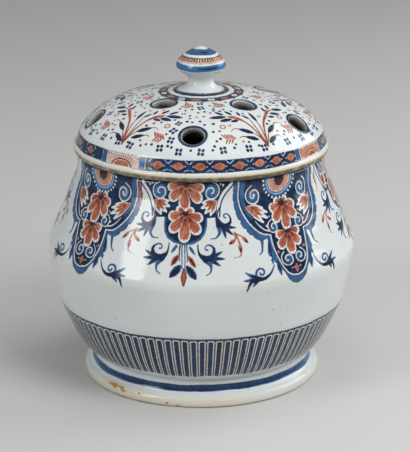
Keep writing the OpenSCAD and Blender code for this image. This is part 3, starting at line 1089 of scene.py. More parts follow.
# One closed cutter for all vents: a bore that flares at the outer skin
def ventCutter(seats):
    plan = ventPlan
    bore, flare, count = plan["bore"], plan["flare"], plan["columns"]
    wide = bore + plan["cutterWide"] * flare
    turns = np.radians(plan["flareTurns"])
    profile = [(bore, -plan["inward"]), (bore, -flare)]
    profile += [(bore + flare * (1 - math.cos(a)), flare * (math.sin(a) - 1)) for a in turns]
    profile += [(wide, plan["cutterLift"] * flare), (wide, plan["outward"])]
    (left, across), (low, tall) = plan["bakeWide"], plan["bakeHigh"]
    bm = bmesh.new()
    bake = bm.loops.layers.uv.new("OFBake")
    for vent, (middle, outward) in enumerate(seats):
        side = np.cross(outward, (0, 0, 1))
        side = side / np.linalg.norm(side)
        rise = np.cross(side, outward)
        loops = []
        for r, h in profile:
            spots = [middle + h * outward + r * (math.cos(a) * side + math.sin(a) * rise)
                     for a in np.linspace(0, fullTurn, count, endpoint=False)]
            loops.append([bm.verts.new(p * mm) for p in spots])
        for k, (lowLoop, highLoop) in enumerate(zip(loops, loops[1:])):
            for i in range(count):
                j = (i + 1) % count
                wall = bm.faces.new((lowLoop[i], lowLoop[j], highLoop[j], highLoop[i]))
                for corner, (column, row) in zip(wall.loops, box(i, k, i + 1, k + 1)):
                    u = (vent + left + across * column / count) / len(seats)
                    corner[bake].uv = (u, 1 - lidPlan["ventBake"] * (low + tall * (1 - row / len(loops))))
        bm.faces.new(loops[0][::-1])
        bm.faces.new(loops[-1])
    bmesh.ops.recalc_face_normals(bm, faces=bm.faces[:])
    mesh = bpy.data.meshes.new("ventCutter")
    bm.to_mesh(mesh)
    bm.free()
    cutter = bpy.data.objects.new("ventCutter", mesh)
    scene.collection.objects.link(cutter)
    return cutter


seats = ventSeats()
cutter = ventCutter(seats)
piercing = lid.modifiers.new("piercing", "BOOLEAN")
piercing.operation = "DIFFERENCE"
piercing.solver = "MANIFOLD"
piercing.object = cutter
bpy.context.view_layer.objects.active = lid
bpy.ops.object.modifier_apply(modifier="piercing")
bpy.data.objects.remove(cutter)
lid.data.materials.clear()
lid.data.shade_smooth()
print("lid pierced", len(lid.data.polygons))

lidR, lidZ, lidTheta = skinPlaces(lid)
lidLayers = newLayers(lid)
domeZ = np.interp(lidR, *domeLine.T)
lidRho = np.interp(lidR, domeLine[:, 0], domeRho)      # mm out along the dome, as if laid flat
onDome = (np.abs(lidZ - domeZ) < lidPlan["domeGap"]) & (lidR > domeStart)
onDome = onDome & (lidZ > lidPlan["bandHigh"] - lidPlan["domeFrom"])
bandLine = lidLine[outer & (height < lidPlan["bandHigh"] + lidPlan["bandLap"])]
bandLine = bandLine[np.argsort(bandLine[:, 1])]
onBand = np.abs(lidR - np.interp(lidZ, *bandLine.T[::-1])) < lidPlan["bandGap"]
onBand = onBand & (lidZ > lidPlan["bandLow"] - lidPlan["bandLap"])
onBand = onBand & (lidZ < lidPlan["bandHigh"] + lidPlan["bandOver"])

# The dome's sprays, each between a pair of insects and a pair of small rings
sprayPlan = {
    "turns": (-41.0, 34.0, 105.0, 176.0, 248.0),     # degrees, alternately mirrored
    "reach": 48.0,                                   # mm kept to each side of a spray
    "from": 14.0,                                    # mm out along the dome
    "insects": (19, 72, -15),                        # degrees to the side, mm out, degrees of lean
    "rings": (21, 62),
    "ringRed": 2.1,                                  # mm
    "ringWhite": 1.15,
    "topInsects": ((-13, 35.2), (19, 34.7), (76, 36.9), (148, 34), (207, 35), (290, 36)),   # degrees, mm out
    "topLean": 25,
}


def domePatch(turn):
    a = lidTheta - math.radians(turn)
    x = lidRho * np.sin(a)
    y = lidRho * np.cos(a)
    return openPatch(lidLayers, x, y, onDome & (np.abs(x) < sprayPlan["reach"]) & (y > sprayPlan["from"]))


def domeSpot(rho, a):
    return rho * math.sin(a), rho * math.cos(a)


sprayStems = [
    ([(0.6, 81), (-2.4, 71), (-6.4, 62.4), (-12, 56), (-15.6, 52.4)], [0.8, 0.6, 0.75, 1.1, 1.0]),
    ([(-15, 53), (-18.4, 50.4), (-22, 49.2)], [0.9, 0.6, 0.35]),
    ([(-14.4, 53), (-16.4, 50), (-19, 48.4)], [0.8, 0.5, 0.3]),
    ([(0.4, 80), (-0.9, 72), (-1.8, 66), (-2.2, 60.6)], [0.6, 0.5, 0.45, 0.3]),
    ([(0.6, 80), (1.4, 72), (1.6, 64), (1.4, 57)], [0.6, 0.45, 0.4, 0.3]),
    ([(0.8, 81), (3.4, 68), (5.6, 60), (7.2, 56.4)], [0.8, 0.6, 0.7, 1.2]),
    ([(6.6, 57.4), (8.6, 54), (10.8, 51.6), (13, 49.6)], [0.9, 1.6, 1.9, 0.5]),
    ([(0.9, 80), (3.6, 73), (6.4, 69)], [0.6, 0.5, 0.3]),
    ([(0.2, 80), (-3, 74.6), (-5.6, 70.6)], [0.6, 0.5, 0.3]),
]
sprayLeaves = [
    ((-21.4, 49.2), (-30.4, 48.6), 1.75), ((-20, 48.2), (-21.4, 41.8), 1.15), ((-15, 51), (-16.2, 45), 1.05),
    ((-17, 53.6), (-24.8, 54.2), 1.6), ((-13.6, 57.2), (-18.4, 57.2), 1.2),
    ((-2.2, 61.4), (-2.8, 49.2), 1.15), ((1.2, 57.4), (3.6, 51), 1.0), ((9.4, 49), (11, 42.4), 1.25),
    ((5, 52), (4.4, 46.4), 1.0), ((14.4, 47.2), (17.4, 40.6), 1.25), ((14, 49.6), (25, 45.8), 2.0),
    ((12.4, 53.2), (20.8, 52.4), 1.8), ((9, 56), (14.6, 55.6), 1.3), ((5.6, 70), (14.4, 63.2), 1.7),
    ((4.6, 75.4), (13.4, 70.6), 1.5), ((-4.8, 71.4), (-13.2, 64.6), 1.65), ((-1.8, 79), (-9.4, 74), 1.7),
]
sprayTendrils = [
    [(13.6, 63.8), (16.2, 62.4), (19.6, 63.6)], [(12.6, 71), (15, 70), (17.4, 70.6)],
    [(-12.6, 65), (-15.6, 63), (-20.2, 64.2)], [(-8.8, 74.4), (-11.6, 73.8), (-14.4, 75.2)],
]
sprayRows = [(brush, line, half, paint) for line, widths in sprayStems
             for half, paint in ((widths, inRed), (0.2, inBrown))]
sprayRows += [(fatLeaf, *how, groundForWarm) for how in sprayLeaves]
sprayRows += [(brush, line, half, paint) for line in sprayTendrils
              for half, paint in (([0.5, 0.4, 0.2], inRed), ([0.2, 0.1], inBrown))]

# Four dabs in a square: where they lie, then each dab's from, to and half-widths
floretDabs = ((-1, -1.1), (1, -1.2), (-1, 1.2), (1, 1.1))
floretStrokes = (((1.1, 0.95), (1.15, 1.22), [1.0, 0.92], inBlue), ((1.1, 0.98), (1.15, 1.18), 0.7, inNavy))

# A red insect, hatched wings over a body: how many strokes, first one's from and to, step to the next
insectStrokes = (
    (4, ((-4.6, -3.6), (-2.4, -0.2)), ((2, 0.4), (2, 0.3)), [0.5, 0.68], inRed),
    (4, ((-4.2, -3), (-2.5, -0.3)), ((2, 0.4), (2, 0.3)), 0.1, inBrown),
    (3, ((-1.8, 1), (-3.4, 3.6)), ((1.9, 0.3), (1.9, 0.2)), [0.68, 0.45], inRed),
    (3, ((-1.9, 1.2), (-3.1, 3.2)), ((1.9, 0.3), (1.9, 0.2)), 0.1, inBrown),
)


def floret(patch, x, y, turn, size):
    spot = place(patch, x, y, turn=turn, size=size)
    for dabSpot in floretDabs:
        for start, end, widths, paint in floretStrokes:
            brush(spot, np.multiply((start, end), dabSpot), widths, paint)


def insect(patch, x, y, turn):
    spot = place(patch, x, y, turn=turn)
    for count, first, step, widths, paint in insectStrokes:
        for k in range(count):
            brush(spot, np.add(first, np.multiply(k, step)), widths, paint)


for k, turn in enumerate(sprayPlan["turns"]):
    patch = domePatch(turn)
    paintRows(place(patch, 0, 0, flip=1 if k % 2 == 0 else -1), sprayRows)
    for side in (-1, 1):
        bearing, rho, lean = sprayPlan["insects"]
        insect(patch, *domeSpot(rho, math.radians(bearing * side)), lean * side)
        bearing, rho = sprayPlan["rings"]
        x, y = domeSpot(rho, math.radians(bearing * side))
        dab(patch, x, y, sprayPlan["ringRed"], inRed)
        dab(patch, x, y, sprayPlan["ringWhite"], offRed)
for turn, rho in sprayPlan["topInsects"]:
    insect(domePatch(turn), 0, rho, sprayPlan["topLean"])

# Rings round the vents, on white
lidXyz = np.column_stack([lidR * np.sin(lidTheta), -lidR * np.cos(lidTheta), lidZ])
ventAway = np.full(len(lidZ), np.inf)
for middle, outward in seats:
    away = lidXyz - middle
    depth = away @ outward
    far = np.linalg.norm(away - depth[:, None] * outward, axis=1)
    ventAway = np.where(np.abs(depth) < ventPlan["reach"], np.minimum(ventAway, far), ventAway)
ringClear = ventPlan["ring"][1] + ventPlan["white"] - ventAway
for name in pigments:
    lidLayers[name] = np.where(onDome, np.maximum(lidLayers[name], ringClear), lidLayers[name])
ringPaint = bandEdge(ventAway, ventPlan["ring"], waver(ventPlan["ringWaves"], lidTheta, lidRho))
layZone(lidLayers, ("navy",), onDome, ringPaint)
layZone(lidLayers, ("blue",), onDome, ringPaint - ventPlan["ringBlue"])

# Small florets above the band, and scattered marks wherever the dome is still bare
sprinkle = {
    "seed": 11,
    "rowRho": 80.8,           # mm out along the dome
    "rowCount": 32,
    "rowStray": (0.12, 0.5, 8.0),     # of the pitch round, mm out, degrees of lean
    "rowSize": 1.15,
    "rowDot": 0.95,           # mm, between two florets
    "rowDotIn": 1.2,          # mm further in
    "throws": 5200,
    "clear": 0.8,             # mm of bare glaze kept round a mark
    "look": 3.0,              # mm round a mark that is looked at
    "bare": 0.2,              # mm to the next paint
    "ringClear": 0.4,         # mm to the ring of a vent
    "span": (31.0, 79.0),     # mm out along the dome
    "lean": 40.0,             # degrees
    "kinds": {                # share of the throws, mm that it takes up to each side
        "floret": (0.54, 2.9),
        "dot": (0.34, 0.9),
        "vee": (0.05, 1.4),
        "pair": (0.07, 1.7),
    },
    "floretSize": (0.95, 1.12),
    "dotRadius": (0.8, 1.1),      # mm
    "blueDots": 0.75,
}
markRows = {
    "vee": [(brush, [(-1, -0.8), (0, 0.8), (1, -0.8)], [0.35, 0.45, 0.35], inRed)],
    "pair": [(leaf, (-0.8, 1.3), (-0.9, -1.3), 0.6, inBlue), (leaf, (0.8, 1.3), (0.9, -1.3), 0.6, inBlue)],
}
wholeDome = openPatch(lidLayers, lidRho * np.sin(lidTheta), lidRho * np.cos(lidTheta), onDome)
rng = np.random.default_rng(sprinkle["seed"])
strayRound, strayOut, strayLean = sprinkle["rowStray"]
for k in range(sprinkle["rowCount"]):
    a = fullTurn * (k + strayRound * rng.normal()) / sprinkle["rowCount"]
    rho = sprinkle["rowRho"] + strayOut * rng.normal()
    floret(wholeDome, *domeSpot(rho, a), -math.degrees(a) + strayLean * rng.normal(), sprinkle["rowSize"])
    between = domeSpot(rho - sprinkle["rowDotIn"], a + np.pi / sprinkle["rowCount"])
    dab(wholeDome, *between, sprinkle["rowDot"], inGround)
wx, wy = wholeDome["x"], wholeDome["y"]
kinds = list(sprinkle["kinds"])
kindShares = [share for share, size in sprinkle["kinds"].values()]
marks = []
for k in range(sprinkle["throws"]):
    rho = math.sqrt(rng.uniform(*np.square(sprinkle["span"])))
    a = rng.uniform(-np.pi, np.pi)
    kind = rng.choice(kinds, p=kindShares)
    size = sprinkle["kinds"][kind][1]
    x, y = domeSpot(rho, a)
    clear = size + sprinkle["clear"]
    if any((x - mx) ** 2 + (y - my) ** 2 < (clear + markSize) ** 2 for mx, my, markSize in marks):
        continue
    look = size + sprinkle["look"]
    near = np.flatnonzero((np.abs(wx - x) < look) & (np.abs(wy - y) < look))
    at = wholeDome["at"][near[np.hypot(wx[near] - x, wy[near] - y) < clear]]
    if not at.size or min(lidLayers[name][at].min() for name in pigments) < sprinkle["bare"]:
        continue
    if ventAway[at].min() < ventPlan["ring"][1] + sprinkle["ringClear"]:
        continue
    marks.append((x, y, size))
    spot = place(wholeDome, x, y, turn=rng.uniform(-sprinkle["lean"], sprinkle["lean"]) - math.degrees(a))
    if kind == "floret":
        floret(spot, 0, 0, 0, rng.uniform(*sprinkle["floretSize"]))
    elif kind == "dot":
        dotRadius = rng.uniform(*sprinkle["dotRadius"])
        dab(spot, 0, 0, dotRadius, inGround if rng.uniform() < sprinkle["blueDots"] else inRed)
    else:
        paintRows(spot, markRows[kind])
print("dome marks", len(marks))

# Collar round the foot of the knob: a ring, then a dark wreath of red and white ovals by turns
collarPlan = {
    "ring": (17.0, 18.2),       # mm out along the dome
    "wreath": (21.6, 27.8),
    "waves": ((0.2, 16, 0.0, 0.0),),
    "ovals": 8,                 # of each colour
    "turn": -7.0,               # degrees, where the first red one lies
    "redHalf": (3.0, 1.6),      # mm, along and across the wreath
    "redLine": (1.8, 0.15),     # mm, half its length and width
    "whiteHalf": (2.5, 1.7),
    "whiteDot": 0.7,
    "edgeDot": (4.9, 3.4, 0.55),      # mm beside an oval and out, radius
}
collarSway = waver(collarPlan["waves"], lidTheta)
for span in ("ring", "wreath"):
    layZone(lidLayers, ground, onDome, bandEdge(lidRho, collarPlan[span], collarSway))
wreathMiddle = 0.5 * sum(collarPlan["wreath"])
for k in range(2 * collarPlan["ovals"]):
    patch = place(domePatch(collarPlan["turn"] + 180 / collarPlan["ovals"] * k), 0, wreathMiddle)
    if k % 2:
        fill(patch, ellipse(0, 0, *collarPlan["whiteHalf"]), offGround)
        dab(patch, 0, 0, collarPlan["whiteDot"], inBlue)
    else:
        half, width = collarPlan["redLine"]
        fill(patch, ellipse(0, 0, *collarPlan["redHalf"]), redForGround)
        brush(patch, [(-half, 0), (half, 0)], width, inBrown)
    dab(patch, *collarPlan["edgeDot"], inGround)

# The band: red lozenges on dark ground, four half suns between blue posts among them
bandPlan = {
    "span": (158.1, 165.7),     # mm
    "waves": ((0.12, 7, 0.0, 0.0), (0.1, 19, 0.0, 1.0)),
    "radius": 81.0,             # mm, radius at which its widths are true
    "lozengeTurns": (-74.3, -60.2, -19.2, -9.9, -0.3, 8.3, 17.4, 26.9, 35.7, 44.2, 77, 86, 95, 104, 113, 122,
                     131, 167, 176, 186, 195, 204, 213, 222, 257, 267, 276),       # degrees
    "lozengeReach": 8,          # degrees
    "lozengeHalf": (3.9, 2.45),     # mm
    "lozengePoints": 24,
    "lozengePinch": 0.45,       # more pulls its sides in
    "lozengeLine": 0.2,         # mm, half
    "lozengeDots": [(0, 0), (-1.5, 0.1), (1.5, -0.1), (0.1, -1.3), (-0.1, 1.3), (-0.8, -0.7), (0.8, 0.7),
                    (-0.8, 0.8), (0.8, -0.8)],
    "lozengeDot": 0.34,         # mm
    "gap": 4.55,                # degrees from a lozenge to the chevrons beside it
    "suns": ((-37.4, 0.42), (59.7, 0.14), (150.0, 0.3), (240.0, 0.3)),   # degrees, half a pale ray in mm
    "sunReach": 16,             # degrees
    "sunHalf": 12.8,            # mm
    "postWide": 4.2,            # mm
    "rays": 20,
    "sunLow": 3.6,              # mm below the band's middle, where its rays meet
    "rayOvals": ((8.4, 4.6), (15, 8.4)),      # mm, from and to
    "arcs": (((7.4, 4.3), 0.3, inBrown), ((6.364, 3.526), 0.2, offRed)),      # oval and half-width in mm
    "arcPoints": 9,
}
bandMiddle = 0.5 * sum(bandPlan["span"])
layZone(lidLayers, ground, onBand, bandEdge(lidZ, bandPlan["span"], waver(bandPlan["waves"], lidTheta)))
lozengeWide, lozengeHigh = bandPlan["lozengeHalf"]
chevron = math.radians(bandPlan["gap"]) * bandPlan["radius"]
chevronRows = [
    (dab, lozengeWide + 0.5, 0, 0.42, offGround),
    (brush, [(chevron - 0.2, -1.5), (chevron - 2.5, -3.5)], [0.28, 0.22], offGround),
    (brush, [(chevron - 0.2, 2.2), (chevron - 1.6, 2.5), (chevron - 3, 3.3)], [0.24, 0.18], offGround),
]
postFrom = bandPlan["sunHalf"]
postTo = postFrom + bandPlan["postWide"]
postRows = [
    (fill, box(postFrom + 0.3, -3.6, postTo, 3.5), inBlue),
    (brush, [(postFrom + 0.7, -3.4), (postFrom + 0.7, 3.3)], 0.3, inNavy),
    (brush, [(postTo - 0.4, -3.4), (postTo - 0.4, 3.3)], 0.4, inNavy),
]
sunClear = [(fill, box(-postTo - 0.5, -3.7, postTo + 0.5, 3.7), offAll)]
sunRed = [(fill, box(-postFrom, -3.2, postFrom, 3.5), inRed)]
tickSpots = [((-4, 3.2), (-3.2, 2.08)), ((-2, 3.2), (-1.6, 1.84)), ((0, 3.2), (0, 1.6)),
             ((2, 3.2), (1.6, 1.84)), ((4, 3.2), (3.2, 2.08))]
sunTicks = [(brush, spots, [0.35, 0.15], inBrown) for spots in tickSpots]


def bandPatch(turn, reach):
    a = fromTurn(lidTheta, turn)
    keep = onBand & (np.abs(a) < math.radians(reach))
    return openPatch(lidLayers, a * bandPlan["radius"], bandMiddle - lidZ, keep)


def paintLozenge(patch):
    pinch = bandPlan["lozengePinch"]
    turns = np.linspace(0, fullTurn, bandPlan["lozengePoints"], endpoint=False)
    edge = [(lozengeWide * c * abs(c) ** pinch, lozengeHigh * s * abs(s) ** pinch)
            for c, s in zip(np.cos(turns), np.sin(turns))]
    fill(patch, edge, redForGround)
    brush(patch, edge + edge[:1], bandPlan["lozengeLine"], inBrown)
    dabs(patch, bandPlan["lozengeDots"], bandPlan["lozengeDot"], inBrown)
    for side in (-1, 1):
        paintRows(place(patch, 0, 0, flip=side), chevronRows)


def paintSun(patch, rayHalf):
    plan = bandPlan

    def sunSpot(a, oval):
        return oval[0] * math.cos(a), plan["sunLow"] - oval[1] * math.sin(a)

    paintRows(patch, sunClear)
    for side in (-1, 1):
        paintRows(place(patch, 0, 0, flip=side), postRows)
    paintRows(patch, sunRed)
    for a in np.linspace(0, np.pi, plan["rays"] + 1):
        brush(patch, [sunSpot(a, oval) for oval in plan["rayOvals"]], [0.5 * rayHalf, rayHalf], offRed)
    for oval, half, paint in plan["arcs"]:
        brush(patch, [sunSpot(a, oval) for a in np.linspace(0, np.pi, plan["arcPoints"])], half, paint)
    paintRows(patch, sunTicks)


for turn in bandPlan["lozengeTurns"]:
    paintLozenge(bandPatch(turn, bandPlan["lozengeReach"]))
for turn, rayHalf in bandPlan["suns"]:
    paintSun(bandPatch(turn, bandPlan["sunReach"]), rayHalf)

# Wear on the lip; on its lower edge dirt where hands lift it and painted shadow all round, where it
# overhangs the jar; and a dull inside
lipOff = np.maximum(0, np.abs(lidZ - lidPlan["lipMiddle"]) - lidPlan["lipHalf"])
lipAway = np.hypot(lidR - lidPlan["lipRadius"], lipOff)
lidLayers["wear"] = lidPlan["lipWorn"] * np.clip(1 - lipAway / lidPlan["lipReach"], 0, 1)
lipInner = lidPlan["lipRadius"] - lidPlan["lipDeep"]
underside = ~onDome & ~onBand & (lidR < lipInner) & (lidZ > lidPlan["insideLow"])
# the lid's underside and the walls of its vents darker the deeper they lie below the dome's skin
wallDarkFrom, stainRun = lidPlan["ventDarkening"]
dulled = np.clip((np.maximum(domeZ - lidZ, 0) - wallDarkFrom) / stainRun, 0, 1)
# the lip's lower edge: brown dirt, strongest where hands lift it, and painted shadow of the gap over the jar
# all round
least = lidPlan["dirtAndShadeLeast"]
lipDirtAndShade = np.exp(-((lidTheta - lidPlan["dirtAndShadeTurn"]) / lidPlan["dirtAndShadeReach"]) ** 2)
lipDirtAndShade = lidPlan["dirtAndShadeMost"] * (least + (1 - least) * lipDirtAndShade)
lipEdgeDirtAndShade = np.clip((lidPlan["lipDirtAndShadeTop"] - lidZ) / lidPlan["dirtAndShadeRun"], 0, 1) * (lidR > lipInner)
lidLayers["stain"] = np.maximum(np.where(underside, dulled, 0.0), lipDirtAndShade * lipEdgeDirtAndShade)
chipEdge(lid, lidLayers, lidPlan["chips"])
lidLayers["load"] = np.where(onDome, lidPlan["domeLoad"], lidPlan["bandLoad"])
keepLayers(lid, lidLayers)
print("lid painted")


# The knob: turned bulb, banded in blue and red
knobPlan = {
    "columns": 256,
    "strips": 1,
    "softness": 0.3,                     # mm
    "step": 0.4,                         # mm
    "hiddenStep": 3.0,                   # mm
    "hiddenHigh": 0.3,                   # mm above its foot
    "footBand": (190.5, 192.1, 0.1),     # mm, from and to height, and how far it sways
    "blueBand": (206.5, 210.3, 0.25),
    "redBand": (211.3, 214.5, 0.1),
    "topBand": (215.9, 218.8, 0.1),
    "bands": {"blueBand": "blue", "redBand": "red", "topBand": "blue", "footBand": "blue"},
    "swayWaves": 3,                      # round it
    "redWash": -0.06,                    # mm, keeps the red half see-through
    "navyIn": (2.9, 1.8, 0.6),           # mm in from the blue's edge, mm round it, start in radians
    "dashes": 48,
    "dashHalf": 0.5,                     # mm
    "dashEnds": (0.9, 0.2),              # mm in from the red's lower and upper edge
    "topLine": (0.1, 0.3),               # mm below the red's upper edge, and half its width
    "footOver": 1.0,                     # mm
    "load": (0.4, -0.4),                 # foot and top, between them
}
knobLine, ring = softOutline("lid_knob", knobPlan["softness"])
hidden = knobLine[:, 1] < knobLine[0, 1] + knobPlan["hiddenHigh"]
steps = np.where(hidden, knobPlan["hiddenStep"], knobPlan["step"])
knob = turnPiece("knob", knobLine, ring, steps, knobPlan["columns"], knobPlan["strips"])
knobR, knobZ, knobTheta = skinPlaces(knob)
knobLayers = newLayers(knob)


def knobBand(name):
    low, high, sway = knobPlan[name]
    return bandEdge(knobZ, (low, high), sway * np.sin(knobPlan["swayWaves"] * knobTheta + low))


for name, layer in knobPlan["bands"].items():
    knobLayers[layer] = np.minimum(knobLayers[layer], knobBand(name))
knobLayers["red"] = np.maximum(knobLayers["red"], knobPlan["redWash"])
navyIn, navyRound, navyStart = knobPlan["navyIn"]
navy = knobLayers["blue"] + navyIn - navyRound * np.cos(2 * knobTheta - navyStart)
knobLayers["navy"] = np.minimum(np.minimum(navy, brushPlan["far"]), knobBand("footBand"))
redLow, redHigh = knobPlan["redBand"][:2]
dashLow, dashHigh = knobPlan["dashEnds"]
dashCell = (knobTheta / fullTurn * knobPlan["dashes"]) % 1 - 0.5
dash = np.abs(dashCell) * fullTurn * knobR / knobPlan["dashes"] - knobPlan["dashHalf"]
dash = np.maximum(dash, np.maximum(knobZ - redHigh + dashHigh, redLow + dashLow - knobZ))
lineIn, lineHalf = knobPlan["topLine"]
knobLayers["line"] = np.minimum(dash, np.abs(knobZ - redHigh + lineIn) - lineHalf)
footOrTop = (knobZ > redHigh) | (knobZ < knobPlan["footBand"][1] + knobPlan["footOver"])
knobLayers["load"] = np.where(footOrTop, *knobPlan["load"])
keepLayers(knob, knobLayers)
print("knob painted")


# The flange under the lid, left bare of glaze
flangePlan = {"columns": 360, "strips": 1, "softness": 0.4, "step": 1.0}      # softness and step in mm
flangeLine, ring = softOutline("lid_flange", flangePlan["softness"])
steps = np.full(len(flangeLine), flangePlan["step"])
flange = turnPiece("flange", flangeLine, ring, steps, flangePlan["columns"], flangePlan["strips"])


# Tin-glazed earthenware, painted in the raw glaze and fired: a glassy, faintly blue white over buff clay,
# blues that sink in and flood at the edges, iron red that lies a little proud, pinholes and rubbed rims
glazePlan = {
    "white": "#d6dad8",
    "whiteCool": "#c6ced0",
    "cream": "#d3c9ae",
    "blueThin": "#14669d",
    "blueDeep": "#073f6e",
    "navyThin": "#0b3460",
    "navyDeep": "#05102a",
    "redThin": "#cc835b",
    "redDeep": "#9c4728",
    "lineThin": "#583229",
    "lineDeep": "#2a1a22",
    "clay": "#b08a58",
    "clayDark": "#6b4829",
    # dull brown of the insides; on the lid's lip also dirt mixed with painted shadow
    "inside": "#66583c",
    "clouds": {                     # mm across, detail
        "drift": (38.0, 3.0),       # of the white
        "wash": (4.0, 4.0),         # pools left by the brush
        "edge": (1.1, 3.0),         # raggedness of an edge
        "patch": (6.0, 4.0),        # rubbed patches on a rim
        "peel": (3.0, 2.0),         # orange peel of the glaze
    },
    "cloudRough": 0.55,
    "edgeSpan": (0.25, 0.75),       # part of a cloud's range that is used
    "edgeStray": 0.16,              # mm
    "soft": 0.24,                   # mm over which an edge bleeds
    "cover": 0.96,                  # how much of the white the paint hides
    "washSpan": (0.3, 0.62),
    "creamShare": 0.9,
    "pinholeMm": 7.0,               # between pinholes; drawn larger than real so that they show
    "pinholeSpan": (0.04, 0.09),    # of that, from a pinhole's middle to its edge
    "pinholeDark": 0.75,
    "pinholeDrift": (0.46, 0.56),   # they crowd where the white drifts
    "claySpan": (0.5, 0.62),
    "dullFull": 0.45,
    "ior": 1.5,
    "gloss": 0.09,
    "drier": {"painted": 0.05, "worn": 0.5, "dulled": 0.4},     # added to the roughness
    "proud": {"painted": 0.25, "worn": -1.5},                   # added to the relief
    "bump": 0.25,
    "bumpMm": 0.2,
}
mixFactor, mixA, mixB, mixOut = 0, 6, 7, 2       # sockets of a colour mix
asColor = {"data_type": "RGBA"}


def glazeMaterial(name):
    material = bpy.data.materials.new(name)
    material.use_nodes = True
    tree = material.node_tree
    shader = tree.nodes["Principled BSDF"].inputs
    plan = glazePlan
    where = addNode(tree, "TexCoord", {}, {}, "Object")
    clouds = {}
    for key, (size, detail) in plan["clouds"].items():
        clouds[key] = addNode(tree, "TexNoise", {}, {
            "Vector": where, "Scale": 1 / (size * mm), "Detail": detail,
            "Roughness": plan["cloudRough"]}, "Fac")
    low, high = plan["edgeSpan"]
    stray = addNode(tree, "MapRange", {}, {
        "Value": clouds["edge"], "From Min": low, "From Max": high,
        "To Min": -plan["edgeStray"], "To Max": plan["edgeStray"]})
    low, high = plan["washSpan"]
    pool = addNode(tree, "MapRange", {}, {"Value": clouds["wash"], "From Min": low, "From Max": high})
    load = addNode(tree, "Attribute", {"attribute_name": "load"}, {}, "Fac")
    pool = addNode(tree, "Math", {"operation": "ADD", "use_clamp": True}, {0: pool, 1: load})
    color = addNode(tree, "Mix", asColor, {
        mixFactor: clouds["drift"], mixA: hexColor(plan["white"]),
        mixB: hexColor(plan["whiteCool"])}, mixOut)
    # rims rubbed to a warm cream
    wear = addNode(tree, "Attribute", {"attribute_name": "wear"}, {}, "Fac")
    creamShare = addNode(tree, "Math", {"operation": "MULTIPLY", "use_clamp": True}, {
        0: wear, 1: plan["creamShare"]})
    color = addNode(tree, "Mix", asColor, {
        mixFactor: creamShare, mixA: color, mixB: hexColor(plan["cream"])}, mixOut)
    covers = []
    for layer in pigments:
        distance = addNode(tree, "Attribute", {"attribute_name": layer}, {}, "Fac")
        ragged = addNode(tree, "Math", {"operation": "ADD"}, {0: distance, 1: stray})
        cover = addNode(tree, "MapRange", {"interpolation_type": "SMOOTHSTEP"}, {
            "Value": ragged, "From Min": -plan["soft"], "From Max": plan["soft"],
            "To Min": plan["cover"], "To Max": 0.0})
        pigment = addNode(tree, "Mix", asColor, {
            mixFactor: pool, mixA: hexColor(plan[layer + "Thin"]),
            mixB: hexColor(plan[layer + "Deep"])}, mixOut)
        color = addNode(tree, "Mix", asColor, {mixFactor: cover, mixA: color, mixB: pigment}, mixOut)
        covers.append(cover)
    painted = covers[0]
    for cover in covers[1:]:
        painted = addNode(tree, "Math", {"operation": "MAXIMUM"}, {0: painted, 1: cover})
    # pinholes and specks
    speck = addNode(tree, "TexVoronoi", {}, {
        "Vector": where, "Scale": 1 / (plan["pinholeMm"] * mm)}, "Distance")
    low, high = plan["pinholeSpan"]
    pinhole = addNode(tree, "MapRange", {}, {
        "Value": speck, "From Min": low, "From Max": high, "To Min": plan["pinholeDark"], "To Max": 0.0})
    low, high = plan["pinholeDrift"]
    crowd = addNode(tree, "MapRange", {}, {"Value": clouds["drift"], "From Min": low, "From Max": high})
    pinhole = addNode(tree, "Math", {"operation": "MULTIPLY"}, {0: pinhole, 1: crowd})
    color = addNode(tree, "Mix", asColor, {
        mixFactor: pinhole, mixA: color, mixB: hexColor(plan["clayDark"])}, mixOut)
    # bare clay in patches on the rims and in the chips
    low, high = plan["claySpan"]
    worn = addNode(tree, "Math", {"operation": "MULTIPLY"}, {0: wear, 1: clouds["patch"]})
    worn = addNode(tree, "MapRange", {}, {"Value": worn, "From Min": low, "From Max": high})
    clay = addNode(tree, "Mix", asColor, {
        mixFactor: pool, mixA: hexColor(plan["clay"]), mixB: hexColor(plan["clayDark"])}, mixOut)
    color = addNode(tree, "Mix", asColor, {mixFactor: worn, mixA: color, mixB: clay}, mixOut)
    # insides dulled, the jar's by what it held; the same mix paints the lid lip's lower edge with dirt and
    # painted shadow
    stain = addNode(tree, "Attribute", {"attribute_name": "stain"}, {}, "Fac")
    dulled = addNode(tree, "Math", {"operation": "MULTIPLY", "use_clamp": True}, {
        0: stain, 1: clouds["patch"]})
    dulled = addNode(tree, "MapRange", {}, {"Value": dulled, "From Min": 0.0, "From Max": plan["dullFull"]})
    color = addNode(tree, "Mix", asColor, {
        mixFactor: dulled, mixA: color, mixB: hexColor(plan["inside"])}, mixOut)
    tree.links.new(color, shader["Base Color"])
    # glassy white, paint a little drier, bare clay and the inside matt; paint lies proud, bare clay lower
    shares = {"painted": painted, "worn": worn, "dulled": dulled}
    roughness = plan["gloss"]
    for key, more in plan["drier"].items():
        roughness = addNode(tree, "Math", {"operation": "MULTIPLY_ADD"}, {
            0: shares[key], 1: more, 2: roughness})
    tree.links.new(roughness, shader["Roughness"])
    relief = clouds["peel"]
    for key, more in plan["proud"].items():
        relief = addNode(tree, "Math", {"operation": "MULTIPLY_ADD"}, {0: shares[key], 1: more, 2: relief})
    bump = addNode(tree, "Bump", {}, {
        "Strength": plan["bump"], "Distance": plan["bumpMm"] * mm, "Height": relief})
    tree.links.new(bump, shader["Normal"])
    shader["IOR"].default_value = plan["ior"]
    return material


glaze = glazeMaterial("tin-glazed earthenware")
for piece in (jar, foot, lid, knob):
    piece.data.materials.append(glaze)

